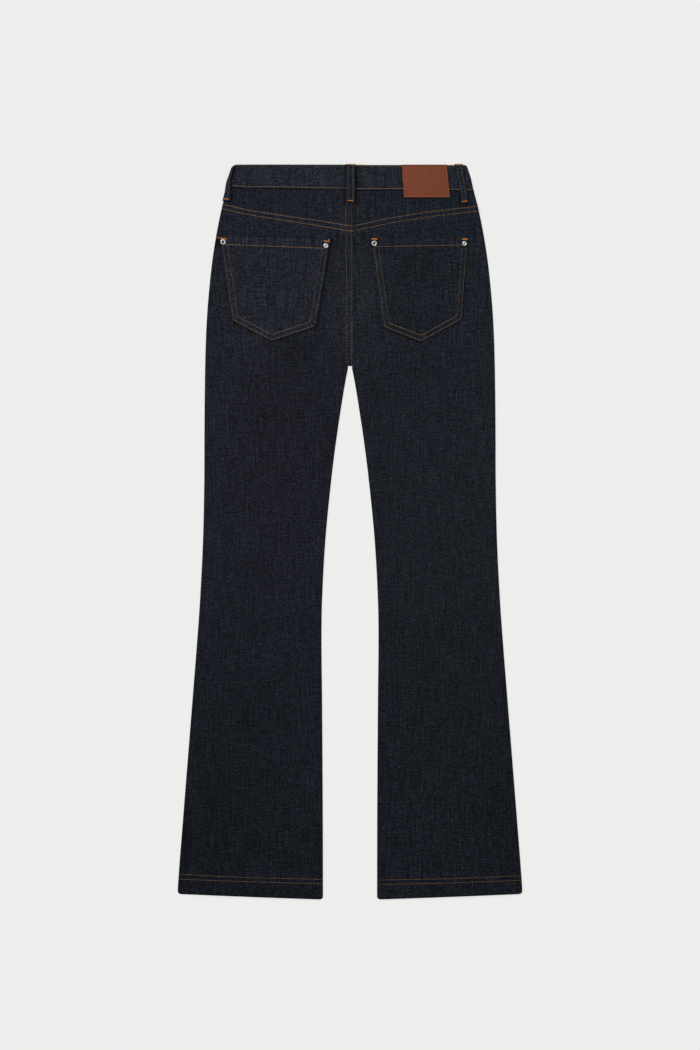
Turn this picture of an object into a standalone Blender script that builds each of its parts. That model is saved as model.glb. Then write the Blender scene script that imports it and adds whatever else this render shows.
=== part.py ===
# Flared jeans, laid out flat with the back uppermost.
#
# Frame: +Z up, the waist towards +Y, the wearer's right towards +X. The origin is
# under the middle of the jeans, on the surface they lie on.
# Sizes are in millimetres, and MM turns them into metres. "Drop" is the distance
# down from the waist edge, and "out" is the distance outwards from the centre line.

import math
from collections import namedtuple

import bmesh
import bpy

MM = 0.001

# ---------------------------------------------------------------- sizes

HEM_DROP = 1100.5            # waist edge to the lowest corner of the hem
HEM_RISE = 8.0               # how much higher the hem is at the outer seam
HEM_HEIGHT = 30.0            # depth of the turned-up hem
HEM_EXTRA = 0.7              # thickness that the turned-up cloth adds
HEM_STEP = 3.0               # length over which that thickness comes in
HEM_CORNER = 3.0             # rounding of the hem's corners
CROTCH_DROP = 301.7
LOOP_RISE = 1.0              # how far the belt loops stand above the waist edge
WAIST_Y = (HEM_DROP - LOOP_RISE) / 2

DENIM = 1.2                  # wall of one layer of denim
SEAM = 0.3                   # gap between two pieces at a seam
BAND = 2.2                   # wall of the waistband, two layers of denim
BAND_HEIGHT = 37.0
CENTRE_SEAM = 4.5            # centre back seam, to the right of the centre line
HALF_WAIST = 180.0           # half of the flat waist, at the middle of the band
FRONT_DIP = 26.0             # how much lower the waist is at the centre front
FLY_OVERLAP = 15.0           # how far the left front waistband passes the centre

BAND_LIFT = 1.9              # front waistband above the surface, on its loops
FRONT_LIFT = 2.4             # front panels' underside at the waistband
LIFT_LENGTH = 73.0           # length over which the front panels come down
SPACE = 1.4                  # between the front and back layers, at the side seams
CROWN = 2.2                  # how far the back swells between its seams
EDGE_RADIUS = 1.5            # rounding along the side seams

LOOP_WIDTH = 14.0
LOOP_LENGTH = 57.5
LOOP_WALL = 1.4
LOOP_ARCH = 0.5              # how far a loop stands off between its ends
PATCH_WALL = 1.3
RIVET_RADIUS = 4.5
BUTTON_RADIUS = 8.5

Outline = namedtuple("Outline", "drop half_width half_gap")
SEAT_OUTLINE = [
    Outline(0, 174.5, 0),
    Outline(20, 181.0, 0),
    Outline(37, 184.8, 0),
    Outline(65, 192.1, 0),
    Outline(101, 199.6, 0),
    Outline(146, 206.6, 0),
    Outline(203, 212.5, 0),
    Outline(251, 215.5, 0),
]
LEG_OUTLINE = [
    Outline(303, 217.1, 3.0),
    Outline(323, 217.4, 6.9),
    Outline(353, 217.8, 12.0),
    Outline(413, 218.2, 21.0),
    Outline(473, 218.4, 28.5),
    Outline(563, 220.3, 37.3),
    Outline(653, 224.8, 42.2),
    Outline(713, 229.0, 43.1),
    Outline(803, 236.1, 42.2),
    Outline(983, 250.4, 41.1),
    Outline(1082, 257.9, 40.9),
    Outline(1101, 257.9, 40.9),
]

# Drops of the waistband's lower edge and of the yoke seam, across each half.
Seams = namedtuple("Seams", "out left_band left_yoke right_band right_yoke")
SEAMS = [
    Seams(-5, 36.9, 102.3, 36.9, 102.3),
    Seams(5, 36.9, 101.0, 36.9, 101.2),
    Seams(50, 36.0, 92.6, 36.6, 90.6),
    Seams(100, 35.0, 84.8, 36.4, 81.2),
    Seams(150, 34.5, 76.9, 37.6, 75.0),
    Seams(195, 32.0, 67.0, 38.8, 70.6),
]

# Corners of the back pockets, as (across, drop).
Pocket = namedtuple("Pocket", "top_left top_right low_left point low_right")
POCKETS = {
    "left": Pocket((-195.0, 107.0), (-28.6, 112.4), (-177.1, 233.0),
                   (-117.2, 264.9), (-50.9, 242.6)),
    "right": Pocket((31.4, 110.4), (177.4, 109.7), (49.4, 243.6),
                    (106.9, 266.1), (168.2, 232.2)),
}
RIVETS = {
    "left_outer": (-190.1, 114.8),
    "left_inner": (-36.1, 120.2),
    "right_inner": (36.2, 117.2),
    "right_outer": (171.4, 117.2),
}

# Belt loops: middle of the top end and of the low end, as (across, drop).
Loop = namedtuple("Loop", "top low")
BACK_LOOPS = {
    "centre_back_loop": Loop((0.7, -LOOP_RISE), (0.7, 56.5)),
    "right_back_loop": Loop((163.5, -LOOP_RISE), (172.0, 58.5)),
}
FRONT_LOOP_ACROSS = 92.0

# The loop at the left side edge lies flat on the band and bends down over the edge.
SIDE_LOOP_TOP = 1.0          # drops of its ends
SIDE_LOOP_LOW = 53.0
SIDE_LOOP_FLAT = (6.0, 8.0)  # width of its flat part, at the top and low ends
SIDE_LOOP_SKIRT = 2.4        # height of the straight part below the bend
SIDE_LOOP_RADIUS = 2.6

Corners = namedtuple("Corners", "top_left top_right low_left low_right")
PATCH = Corners((77.6, 0.2), (145.4, 0.2), (80.9, 49.1), (150.2, 49.2))

# Rows of the back waistband: part of its height, and how far its corners are rounded.
BandRow = namedtuple("BandRow", "part left_corner right_corner")
BAND_ROWS = [
    BandRow(0.0, 5.5, 0.8),
    BandRow(0.05, 2.2, 0.2),
    BandRow(0.2, 0.0, 0.0),
    BandRow(0.6, 0.0, 0.0),
    BandRow(1.0, 0.0, 0.0),
]


# ---------------------------------------------------------------- materials

def make_material(name, colour, roughness, metallic=0.0):
    material = bpy.data.materials.new(name)
    material.use_nodes = True
    shader = material.node_tree.nodes["Principled BSDF"]
    shader.inputs["Base Color"].default_value = (*colour, 1.0)
    shader.inputs["Roughness"].default_value = roughness
    shader.inputs["Metallic"].default_value = metallic
    return material


# ---------------------------------------------------------------- shape rules

def clamp(value):
    return min(1.0, max(0.0, value))


def ease(value):
    """0 to 1 with flat ends."""
    t = clamp(value)
    return t * t * (3 - 2 * t)


def lerp(a, b, t):
    return a + (b - a) * t


def read(table, column, at):
    """A column of a table, read smoothly at a value of its first column."""
    keys = [row[0] for row in table]
    values = [getattr(row, column) for row in table]
    at = min(keys[-1], max(keys[0], at))
    i = max(k for k in range(len(keys) - 1) if keys[k] <= at)

    def slope(k):
        low, high = max(0, k - 1), min(len(keys) - 1, k + 1)
        return (values[high] - values[low]) / (keys[high] - keys[low])

    span = keys[i + 1] - keys[i]
    t = (at - keys[i]) / span
    rise = values[i + 1] - values[i]
    start = slope(i) * span
    end = slope(i + 1) * span
    return (values[i] + start * t + (3 * rise - 2 * start - end) * t ** 2
            + (start + end - 2 * rise) * t ** 3)


def half_width(drop):
    return read(SEAT_OUTLINE + LEG_OUTLINE, "half_width", drop)


def half_gap(drop):
    """Half of the gap between the legs; it opens below the crotch."""
    if drop <= CROTCH_DROP:
        return 0.0
    return read(LEG_OUTLINE, "half_gap", drop)


def hem_drop(out):
    inner, outer = half_gap(HEM_DROP), half_width(HEM_DROP)
    return HEM_DROP - HEM_RISE * clamp((out - inner) / (outer - inner))


def front_dip(x):
    """How much lower the front waist edge is than the back one."""
    return FRONT_DIP * (1 - min(1.0, abs(x) / half_width(BAND_HEIGHT)) ** 2)


def hem_zone(x, drop):
    """1 on the turned-up hem, 0 above it."""
    return ease((drop - hem_drop(abs(x)) + HEM_HEIGHT + HEM_STEP) / HEM_STEP)


# ---------------------------------------------------------------- heights

def lift(x, drop):
    """1 at the waist, where the layers lie on the waistband, 0 on the legs."""
    return 1 - ease((drop - front_dip(x) - BAND_HEIGHT) / LIFT_LENGTH)


def wall(x, drop):
    return DENIM + HEM_EXTRA * hem_zone(x, drop)


def front_under(x, drop):
    return FRONT_LIFT * lift(x, drop)


def front_over(x, drop):
    return front_under(x, drop) + wall(x, drop)


def crown(x, drop):
    inner = half_gap(drop)
    across = clamp((abs(x) - inner) / (half_width(drop) - inner))
    return CROWN * math.sin(math.pi * across) * (1 - lift(x, drop))


def back_under(x, drop):
    return front_over(x, drop) + SPACE + crown(x, drop)


def back_over(x, drop):
    return back_under(x, drop) + wall(x, drop)


def seam_height(x, drop):
    """Height of the side seam and inseam, between the two layers."""
    return front_over(x, drop) + SPACE / 2


BAND_FRONT_OVER = BAND_LIFT + BAND
BAND_BACK_UNDER = FRONT_LIFT + DENIM + SPACE - (BAND - DENIM) / 2
BAND_BACK_OVER = BAND_BACK_UNDER + BAND
BAND_SEAM = (BAND_FRONT_OVER + BAND_BACK_UNDER) / 2


def edge_fall(distance):
    """How far a rounded edge has fallen at a distance in from it."""
    if distance >= EDGE_RADIUS:
        return 0.0
    reach = 1 - max(0.0, distance) / EDGE_RADIUS
    return EDGE_RADIUS * (1 - math.sqrt(1 - reach * reach))


# ---------------------------------------------------------------- cloth

def add_object(name, mesh, material):
    obj = bpy.data.objects.new(name, mesh)
    obj.data.materials.append(material)
    JEANS.objects.link(obj)
    return obj


def cloth_piece(name, across, down, place, material):
    """A wall of cloth: a grid set out by place(), which returns across, drop and
    the heights of the under and over faces, for each column and row."""
    bm = bmesh.new()
    bmesh.ops.create_grid(bm, x_segments=across, y_segments=down, size=0.5)
    under_heights = {}
    for vert in bm.verts:
        column = round((vert.co.x + 0.5) * across)
        row = round((0.5 - vert.co.y) * down)
        x, drop, under, over = place(column, row)
        under_heights[vert.index] = under
        vert.co = (x * MM, (WAIST_Y - drop) * MM, over * MM)
    bm.verts.ensure_lookup_table()
    upper = list(bm.verts)
    extruded = bmesh.ops.extrude_face_region(bm, geom=bm.faces[:])
    lower = {(round(v.co.x, 7), round(v.co.y, 7)): v for v in extruded["geom"]
             if isinstance(v, bmesh.types.BMVert)}
    for index, vert in enumerate(upper):
        partner = lower[(round(vert.co.x, 7), round(vert.co.y, 7))]
        partner.co.z = under_heights[index] * MM
    bmesh.ops.recalc_face_normals(bm, faces=bm.faces[:])
    mesh = bpy.data.meshes.new(name)
    bm.to_mesh(mesh)
    bm.free()
    return add_object(name, mesh, material)


def column_reach(column, columns, width, round_inner):
    """Distance of a column from the inner edge: close together along the rounded
    edges and even between them."""
    close = [0.0, 0.3 * EDGE_RADIUS, EDGE_RADIUS]
    near = close if round_inner else [0.0]
    far = [width - reach for reach in reversed(close)]
    if column < len(near):
        return near[column]
    if column > columns - len(far):
        return far[column - columns - 1 + len(far)]
    first, last = len(near) - 1, columns + 1 - len(far)
    return lerp(near[-1], far[0], (column - first) / (last - first))


LEG_COLUMNS = 10
SEAT_ROWS = 8
LEG_ROWS = 17
CROTCH_STEP = 1.5            # drop between the rows above and below the crotch
ROW_GROWTH = 1.25            # rows lie closer together near the crotch
FITTING_ROUNDS = 4           # a point's drop and reach depend on each other


def leg_row_drop(row, out, top_drop):
    """Drop of a row of a leg panel: the seat's rows fan out from the panel's top
    edge, the crotch has a row on each side, and the last rows follow the hem."""
    if row <= SEAT_ROWS:
        return lerp(top_drop, CROTCH_DROP, row / SEAT_ROWS)
    first = CROTCH_DROP + CROTCH_STEP
    hem = hem_drop(out)
    if row == SEAT_ROWS + LEG_ROWS:
        return hem
    step = (row - SEAT_ROWS - 1) / (LEG_ROWS - 2)
    return lerp(first, hem - HEM_CORNER, step ** ROW_GROWTH)


def leg_panel(name, sign, centre, top_drop, layer, material):
    """One side's panel from the yoke or waistband to the hem. centre is how far
    out its seam on the centre line lies."""

    def place(column, row):
        on_leg = row > SEAT_ROWS
        drop = CROTCH_DROP
        for _ in range(FITTING_ROUNDS):
            corner = HEM_CORNER if row == SEAT_ROWS + LEG_ROWS else 0.0
            inner = half_gap(drop) + corner if on_leg else centre
            outer = half_width(drop) - corner
            reach = column_reach(column, LEG_COLUMNS, outer - inner, on_leg)
            out = inner + reach
            drop = leg_row_drop(row, out, top_drop(out))
        edge = outer - out
        if on_leg:
            edge = min(edge, reach)
        return sign * out, drop, *layer(sign * out, drop, edge)

    return cloth_piece(name, LEG_COLUMNS, SEAT_ROWS + LEG_ROWS, place, material)


def back_layer(x, drop, edge):
    """Under and over heights of the back, with its rounded edge."""
    under = back_under(x, drop)
    if edge < EDGE_RADIUS / 2:
        under = seam_height(x, drop) + SEAM / 2
    return under, back_over(x, drop) - edge_fall(edge)


def front_layer(x, drop, edge):
    over = front_over(x, drop)
    if edge < EDGE_RADIUS / 2:
        over = seam_height(x, drop) - SEAM / 2
    return front_under(x, drop) + edge_fall(edge), over


def yoke(side, sign, material):
    columns, rows = 8, 4
    centre = sign * (CENTRE_SEAM + (SEAM if sign > 0 else 0))

    def place(column, row):
        drop = BAND_HEIGHT
        for _ in range(FITTING_ROUNDS):
            width = half_width(drop) - centre
            out = centre + column_reach(column, columns, width, False)
            top = read(SEAMS, side + "_band", out) + SEAM
            low = read(SEAMS, side + "_yoke", out)
            drop = lerp(top, low, row / rows)
        return sign * out, drop, *back_layer(sign * out, drop, centre + width - out)

    return cloth_piece(side + "_back_yoke", columns, rows, place, material)


def back_waistband(material):
    columns = 22

    def place(column, row):
        part, left_corner, right_corner = BAND_ROWS[row]
        left_drop = part * read(SEAMS, "left_band", HALF_WAIST)
        right_drop = part * read(SEAMS, "right_band", HALF_WAIST)
        left = -half_width(left_drop) + left_corner
        right = half_width(right_drop) - right_corner
        reach = column_reach(column, columns, right - left, True)
        x = left + reach
        side = "left_band" if x < 0 else "right_band"
        drop = part * read(SEAMS, side, abs(x))
        edge = min(reach, right - x)
        under = BAND_BACK_UNDER if edge > EDGE_RADIUS / 2 else BAND_SEAM + SEAM / 2
        return x, drop, under, BAND_BACK_OVER - edge_fall(edge)

    return cloth_piece("back_waistband", columns, len(BAND_ROWS) - 1, place, material)


def front_waistband(side, sign, material):
    """The left one passes the centre to carry the buttonhole."""
    columns, rows = 10, 3
    centre = -FLY_OVERLAP if sign < 0 else FLY_OVERLAP + SEAM

    def place(column, row):
        outer = half_width(row / rows * BAND_HEIGHT)
        out = centre + column_reach(column, columns, outer - centre, False)
        drop = front_dip(out) + row / rows * BAND_HEIGHT
        edge = outer - out
        over = BAND_FRONT_OVER if edge > EDGE_RADIUS / 2 else BAND_SEAM - SEAM / 2
        return sign * out, drop, BAND_LIFT + edge_fall(edge), over

    return cloth_piece(side + "_front_waistband", columns, rows, place, material)


def back_pocket(side, material):
    """Five-sided patch pocket that follows the seat under it."""
    shape = POCKETS[side]
    columns, rows = 6, 6

    def place(column, row):
        u, v = column / columns, row / rows
        if u <= 0.5:
            low = [lerp(a, b, 2 * u) for a, b in zip(shape.low_left, shape.point)]
        else:
            low = [lerp(a, b, 2 * u - 1) for a, b in zip(shape.point, shape.low_right)]
        top = [lerp(a, b, u) for a, b in zip(shape.top_left, shape.top_right)]
        x, drop = (lerp(a, b, v) for a, b in zip(top, low))
        under = back_over(x, drop) + SEAM
        return x, drop, under, under + DENIM

    return cloth_piece(side + "_back_pocket", columns, rows, place, material)


def patch(material):
    columns, rows = 4, 4
    under = BAND_BACK_OVER + SEAM

    def place(column, row):
        u, v = column / columns, row / rows
        top = [lerp(a, b, u) for a, b in zip(PATCH.top_left, PATCH.top_right)]
        low = [lerp(a, b, u) for a, b in zip(PATCH.low_left, PATCH.low_right)]
        x, drop = (lerp(a, b, v) for a, b in zip(top, low))
        return x, drop, under, under + PATCH_WALL

    return cloth_piece("waist_patch", columns, rows, place, material)


def back_loop(name, material):
    """Strip over the waistband, sewn down on the band's top edge and on the yoke."""
    loop = BACK_LOOPS[name]
    columns, rows = 2, 8

    def place(column, row):
        v = row / rows
        middle, drop = (lerp(a, b, v) for a, b in zip(loop.top, loop.low))
        x = middle + LOOP_WIDTH * (column / columns - 0.5)
        low_under = back_over(*loop.low) + SEAM
        settle = ease((drop - BAND_HEIGHT) / (loop.low[1] - BAND_HEIGHT))
        under = lerp(BAND_BACK_OVER + SEAM, low_under, settle)
        under += LOOP_ARCH * math.sin(math.pi * v)
        return x, drop, under, under + LOOP_WALL

    return cloth_piece(name, columns, rows, place, material)


def front_loop(side, sign, material):
    """Strip under the front waistband, which lies on it."""
    columns, rows = 2, 6
    x = sign * FRONT_LOOP_ACROSS

    def place(column, row):
        across = x + LOOP_WIDTH * (column / columns - 0.5)
        drop = front_dip(x) - LOOP_RISE + row / rows * LOOP_LENGTH
        return across, drop, 0.0, LOOP_WALL

    return cloth_piece(side + "_front_loop", columns, rows, place, material)


def side_loop_section(reach, flat):
    """How far in from the loop's outermost line, and how far down from its top, a
    point lies that is reach along the section: flat, quarter bend, then straight."""
    quarter = SIDE_LOOP_RADIUS * math.pi / 2
    along = reach - flat
    if along <= 0:
        return SIDE_LOOP_RADIUS - along, 0.0
    if along <= quarter:
        bend = along / SIDE_LOOP_RADIUS
        return (SIDE_LOOP_RADIUS * (1 - math.sin(bend)),
                SIDE_LOOP_RADIUS * (1 - math.cos(bend)))
    return 0.0, SIDE_LOOP_RADIUS + along - quarter


def side_loop(material):
    """An open surface on the loop's outer face, with its wall inside."""
    flat_columns, bend_columns = 2, 4
    columns, rows = flat_columns + bend_columns + 1, 6
    over = BAND_BACK_OVER + SEAM + LOOP_WALL
    quarter = SIDE_LOOP_RADIUS * math.pi / 2
    bm = bmesh.new()
    bmesh.ops.create_grid(bm, x_segments=columns, y_segments=rows, size=0.5)
    for vert in bm.verts:
        column = round((vert.co.x + 0.5) * columns)
        part = 0.5 - vert.co.y
        drop = lerp(SIDE_LOOP_TOP, SIDE_LOOP_LOW, part)
        flat = lerp(*SIDE_LOOP_FLAT, part)
        if column <= flat_columns:
            reach = flat * column / flat_columns
        elif column < columns:
            reach = flat + quarter * (column - flat_columns) / bend_columns
        else:
            reach = flat + quarter + SIDE_LOOP_SKIRT
        inset, fall = side_loop_section(reach, flat)
        out = half_width(drop) + SEAM + LOOP_WALL - inset
        vert.co = (-out * MM, (WAIST_Y - drop) * MM, (over - fall) * MM)
    bmesh.ops.recalc_face_normals(bm, faces=bm.faces[:])
    mesh = bpy.data.meshes.new("left_side_loop")
    bm.to_mesh(mesh)
    bm.free()
    obj = add_object("left_side_loop", mesh, material)
    solidify = obj.modifiers.new("wall", "SOLIDIFY")
    solidify.thickness = LOOP_WALL * MM
    solidify.offset = -1.0
    solidify.use_even_offset = True
    return obj


# ---------------------------------------------------------------- metal

def turned(name, profile, steps, location, material):
    """A turned piece. The profile's points are (radius, height), from the axis at
    the top, out and down to the axis at the bottom."""
    bm = bmesh.new()
    points = [bm.verts.new((radius * MM, 0, height * MM)) for radius, height in profile]
    for first, second in zip(points, points[1:]):
        bm.edges.new((first, second))
    mesh = bpy.data.meshes.new(name)
    bm.to_mesh(mesh)
    bm.free()
    obj = add_object(name, mesh, material)
    obj.location = [value * MM for value in location]
    screw = obj.modifiers.new("turn", "SCREW")
    screw.axis = "Z"
    screw.angle = 2 * math.pi
    screw.steps = steps
    screw.render_steps = steps
    screw.use_merge_vertices = True
    screw.merge_threshold = 0.00001
    return obj


RIVET_PROFILE = [(0, 0.7), (1.6, 0.6), (2.3, 1.1), (3.2, 1.35), (4.0, 1.15),
                 (RIVET_RADIUS, 0.5), (RIVET_RADIUS, 0), (0, 0)]
BUTTON_PROFILE = [(0, 1.4), (BUTTON_RADIUS - 1, 1.4), (BUTTON_RADIUS, 0.9),
                  (BUTTON_RADIUS, 0.5), (BUTTON_RADIUS - 0.6, 0), (0, 0)]


def rivet(corner, material):
    x, drop = RIVETS[corner]
    height = max(back_over(x + step * RIVET_RADIUS, drop) for step in (-1, 0, 1))
    place = (x, WAIST_Y - drop, height + SEAM + DENIM + SEAM)
    return turned(corner + "_rivet", RIVET_PROFILE, 16, place, material)


def waist_button(material):
    drop = front_dip(0) + BAND_HEIGHT / 2
    return turned("waist_button", BUTTON_PROFILE, 24, (0, WAIST_Y - drop, 0), material)


# ---------------------------------------------------------------- build

for old in list(bpy.data.objects):
    bpy.data.objects.remove(old, do_unlink=True)

JEANS = bpy.data.collections.new("flared_jeans")
bpy.context.scene.collection.children.link(JEANS)

denim = make_material("indigo_denim", (0.012, 0.016, 0.027), 0.9)
leather = make_material("patch_leather", (0.19, 0.055, 0.025), 0.6)
metal = make_material("rivet_metal", (0.72, 0.70, 0.67), 0.3, 1.0)

for side, sign in (("left", -1), ("right", 1)):
    seam = sign * (CENTRE_SEAM + (SEAM if sign > 0 else 0))
    leg_panel(side + "_back_panel", sign, seam,
              lambda out, name=side: read(SEAMS, name + "_yoke", out) + SEAM,
              back_layer, denim)
    leg_panel(side + "_front_panel", sign, SEAM / 2,
              lambda out: front_dip(out) + BAND_HEIGHT + SEAM, front_layer, denim)
    yoke(side, sign, denim)
    back_pocket(side, denim)
    front_waistband(side, sign, denim)
    front_loop(side, sign, denim)

back_waistband(denim)
for loop_name in BACK_LOOPS:
    back_loop(loop_name, denim)
side_loop(denim)
patch(leather)
for corner_name in RIVETS:
    rivet(corner_name, metal)
waist_button(metal)
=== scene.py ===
# %% [markdown]
# # Flared jeans, laid out flat with the back up
# The jeans are built as they are sewn: leg panels, yokes, pockets, waistband and belt
# loops are separate pieces of denim, each a thin shell with a real wall. The stitches,
# bartacks, rivets and the leather patch go on top of them.
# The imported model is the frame. It fixes where everything lies, and its plain solids
# stay hidden under the pieces that are made here.

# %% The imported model
import math
from collections import namedtuple

import bmesh
import bpy
import numpy as np
from mathutils import Matrix, Vector, noise
from mathutils.bvhtree import BVHTree


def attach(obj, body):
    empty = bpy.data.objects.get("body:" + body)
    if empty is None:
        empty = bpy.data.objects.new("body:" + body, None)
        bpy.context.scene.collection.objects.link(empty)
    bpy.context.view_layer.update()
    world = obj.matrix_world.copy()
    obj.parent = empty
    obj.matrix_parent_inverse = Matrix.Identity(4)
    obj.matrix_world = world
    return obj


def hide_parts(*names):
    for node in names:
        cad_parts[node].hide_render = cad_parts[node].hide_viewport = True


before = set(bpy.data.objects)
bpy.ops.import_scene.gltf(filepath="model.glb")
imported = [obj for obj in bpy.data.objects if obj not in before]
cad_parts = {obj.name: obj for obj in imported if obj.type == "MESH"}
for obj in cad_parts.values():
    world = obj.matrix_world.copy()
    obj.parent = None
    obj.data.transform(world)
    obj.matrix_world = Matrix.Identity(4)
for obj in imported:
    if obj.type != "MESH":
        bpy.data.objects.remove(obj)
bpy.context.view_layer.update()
print("packed model:", len(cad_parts), "nodes")

# %% [markdown]
# ## Sizes
# A pattern cutter works from a few measures and a table of widths. The jeans are
# described the same way here, in millimetres: "drop" is the distance down from the
# waist edge, and "x" runs from the wearer's left to the right, with the centre at 0.
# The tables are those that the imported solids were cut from, so both fit together.

# %% Sizes of the cut
MM = 0.001
HEM_DROP = 1100.5
HEM_RISE = 8.0               # how much the hem rises towards the side seam
HEM_FULL = 1.4               # the rounded hem stands this far below the cut line
EDGE_FULL = 0.38             # and the rolled side edges stand this far out of theirs
HEM_HEIGHT = 30.0
HEM_EXTRA = 0.7              # how much thicker the solid is at the hem
HEM_STEP = 3.0
CROTCH_DROP = 301.7
LOOP_RISE = 1.0              # how far the loops stand above the waist edge
WAIST_Y = (HEM_DROP - LOOP_RISE) / 2
SOLID_WALL = 1.2
BAND_HEIGHT = 37.0
CENTRE_SEAM = 6.6            # the folded edge of the seat seam, right of the centre
FRONT_DIP = 26.0
FLY_OVERLAP = 15.0
FRONT_LIFT = 2.4             # how high the front lies at the waist, on its band
LIFT_LENGTH = 73.0
SPACE = 1.4                  # between the two layers
CROWN = 2.2                  # how far the back swells between its seams
FAR = 99.0                   # stands for "away from every edge"

Outline = namedtuple("Outline", "drop half_width half_gap")
SEAT_OUTLINE = [
    Outline(0, 174.5, 0),
    Outline(20, 181.0, 0),
    Outline(37, 184.8, 0),
    Outline(65, 192.1, 0),
    Outline(101, 199.6, 0),
    Outline(146, 206.6, 0),
    Outline(203, 212.5, 0),
    Outline(251, 215.5, 0),
]
LEG_OUTLINE = [
    Outline(303, 217.1, 3.0),
    Outline(323, 217.4, 6.9),
    Outline(353, 217.8, 12.0),
    Outline(413, 218.2, 21.0),
    Outline(473, 218.4, 28.5),
    Outline(563, 220.3, 37.3),
    Outline(653, 224.8, 42.2),
    Outline(713, 229.0, 43.1),
    Outline(803, 236.1, 42.2),
    Outline(983, 250.4, 41.1),
    Outline(1082, 257.9, 40.9),
    Outline(1101, 257.9, 40.9),
]
Seams = namedtuple("Seams", "out left_band left_yoke right_band right_yoke")
SEAMS = [                    # drops of the lower edges, by the distance out
    Seams(-5, 36.9, 102.3, 36.9, 102.3),
    Seams(5, 36.9, 101.0, 36.9, 101.2),
    Seams(50, 36.0, 92.6, 36.6, 90.6),
    Seams(100, 35.0, 84.8, 36.4, 81.2),
    Seams(150, 34.5, 76.9, 37.6, 75.0),
    Seams(195, 32.0, 67.0, 38.8, 70.6),
]
print("crotch to hem:", round(HEM_DROP - CROTCH_DROP), "mm")

# %% [markdown]
# ### Reading the tables
# A table gives its values at a few places only. Between them they follow a smooth
# curve that passes through the rows of the table, so no outline has a corner there.

# %% Smooth steps and tables
def ease(value):
    """0 to 1 with flat ends."""
    t = np.clip(value, 0.0, 1.0)
    return t * t * (3 - 2 * t)


def lerp(a, b, t):
    return a + (b - a) * t


def read(table, column, at):
    """A column of a table, read smoothly at values of its first column."""
    keys = np.array([row[0] for row in table], float)
    values = np.array([getattr(row, column) for row in table], float)
    rises, spans = np.diff(values), np.diff(keys)
    inner = (values[2:] - values[:-2]) / (keys[2:] - keys[:-2])
    slopes = np.concatenate([rises[:1] / spans[:1], inner, rises[-1:] / spans[-1:]])
    at = np.clip(at, keys[0], keys[-1])
    i = np.clip(np.searchsorted(keys, at, side="right") - 1, 0, len(keys) - 2)
    t = (at - keys[i]) / spans[i]
    start, end = slopes[i] * spans[i], slopes[i + 1] * spans[i]
    return (values[i] + start * t + (3 * rises[i] - 2 * start - end) * t ** 2
            + (start + end - 2 * rises[i]) * t ** 3)


def half_width(drop):
    return read(SEAT_OUTLINE + LEG_OUTLINE, "half_width", drop) + EDGE_FULL


def half_gap(drop):
    """Half of the gap between the legs."""
    gap = read(LEG_OUTLINE, "half_gap", drop) - EDGE_FULL
    return np.where(drop <= CROTCH_DROP, 0.0, gap)


def hem_drop(out):
    inner, outer = half_gap(HEM_DROP), half_width(HEM_DROP)
    return HEM_DROP - HEM_RISE * np.clip((out - inner) / (outer - inner), 0, 1)


def front_dip(x):
    """How much lower the front waist edge is than the back one."""
    return FRONT_DIP * (1 - np.minimum(1.0, np.abs(x) / half_width(BAND_HEIGHT)) ** 2)


print("hem of each leg:", round(float(half_width(1090) - half_gap(1090))), "mm wide")

# %% [markdown]
# ## How high each layer lies
# Two layers of denim lie on each other from the side seams inwards. The front lies on
# the surface, and the back lies on the front and swells a little between its seams.
# At the waist both are lifted by the waistband, which is thicker. The side seams and
# inseams close at one height between the layers, where both roll towards each other.

# %% Heights of the plain form
def lift(x, drop):
    """1 at the waist, where the layers lie on the waistband, 0 on the legs."""
    return 1 - ease((drop - front_dip(x) - BAND_HEIGHT) / LIFT_LENGTH)


def solid_wall(x, drop):
    hem = ease((drop - hem_drop(np.abs(x)) + HEM_HEIGHT + HEM_STEP) / HEM_STEP)
    return SOLID_WALL + HEM_EXTRA * hem


def front_height(x, drop):
    """The lower face of the front, on the surface."""
    return FRONT_LIFT * lift(x, drop)


def seam_height(x, drop):
    return front_height(x, drop) + solid_wall(x, drop) + SPACE / 2


def back_height(x, drop):
    """The upper face of the back."""
    inner = half_gap(drop)
    across = np.clip((np.abs(x) - inner) / (half_width(drop) - inner), 0, 1)
    crown = CROWN * np.sin(math.pi * across) * (1 - lift(x, drop))
    return front_height(x, drop) + 2 * solid_wall(x, drop) + SPACE + crown


BAND_SEAM = 4.3              # seam height at the waistband's ends
BAND_TOP = 6.7               # upper face of the back waistband
BAND_LOW = 2.1               # lower face of the front waistband
THREAD_ROOM = 0.3            # the front stands off the surface on its own stitches
CLOSING = 0.15               # each layer stops this far from the seam height
print("seat:", round(float(back_height(np.array(110.0), np.array(250.0))), 1), "mm high")
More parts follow.
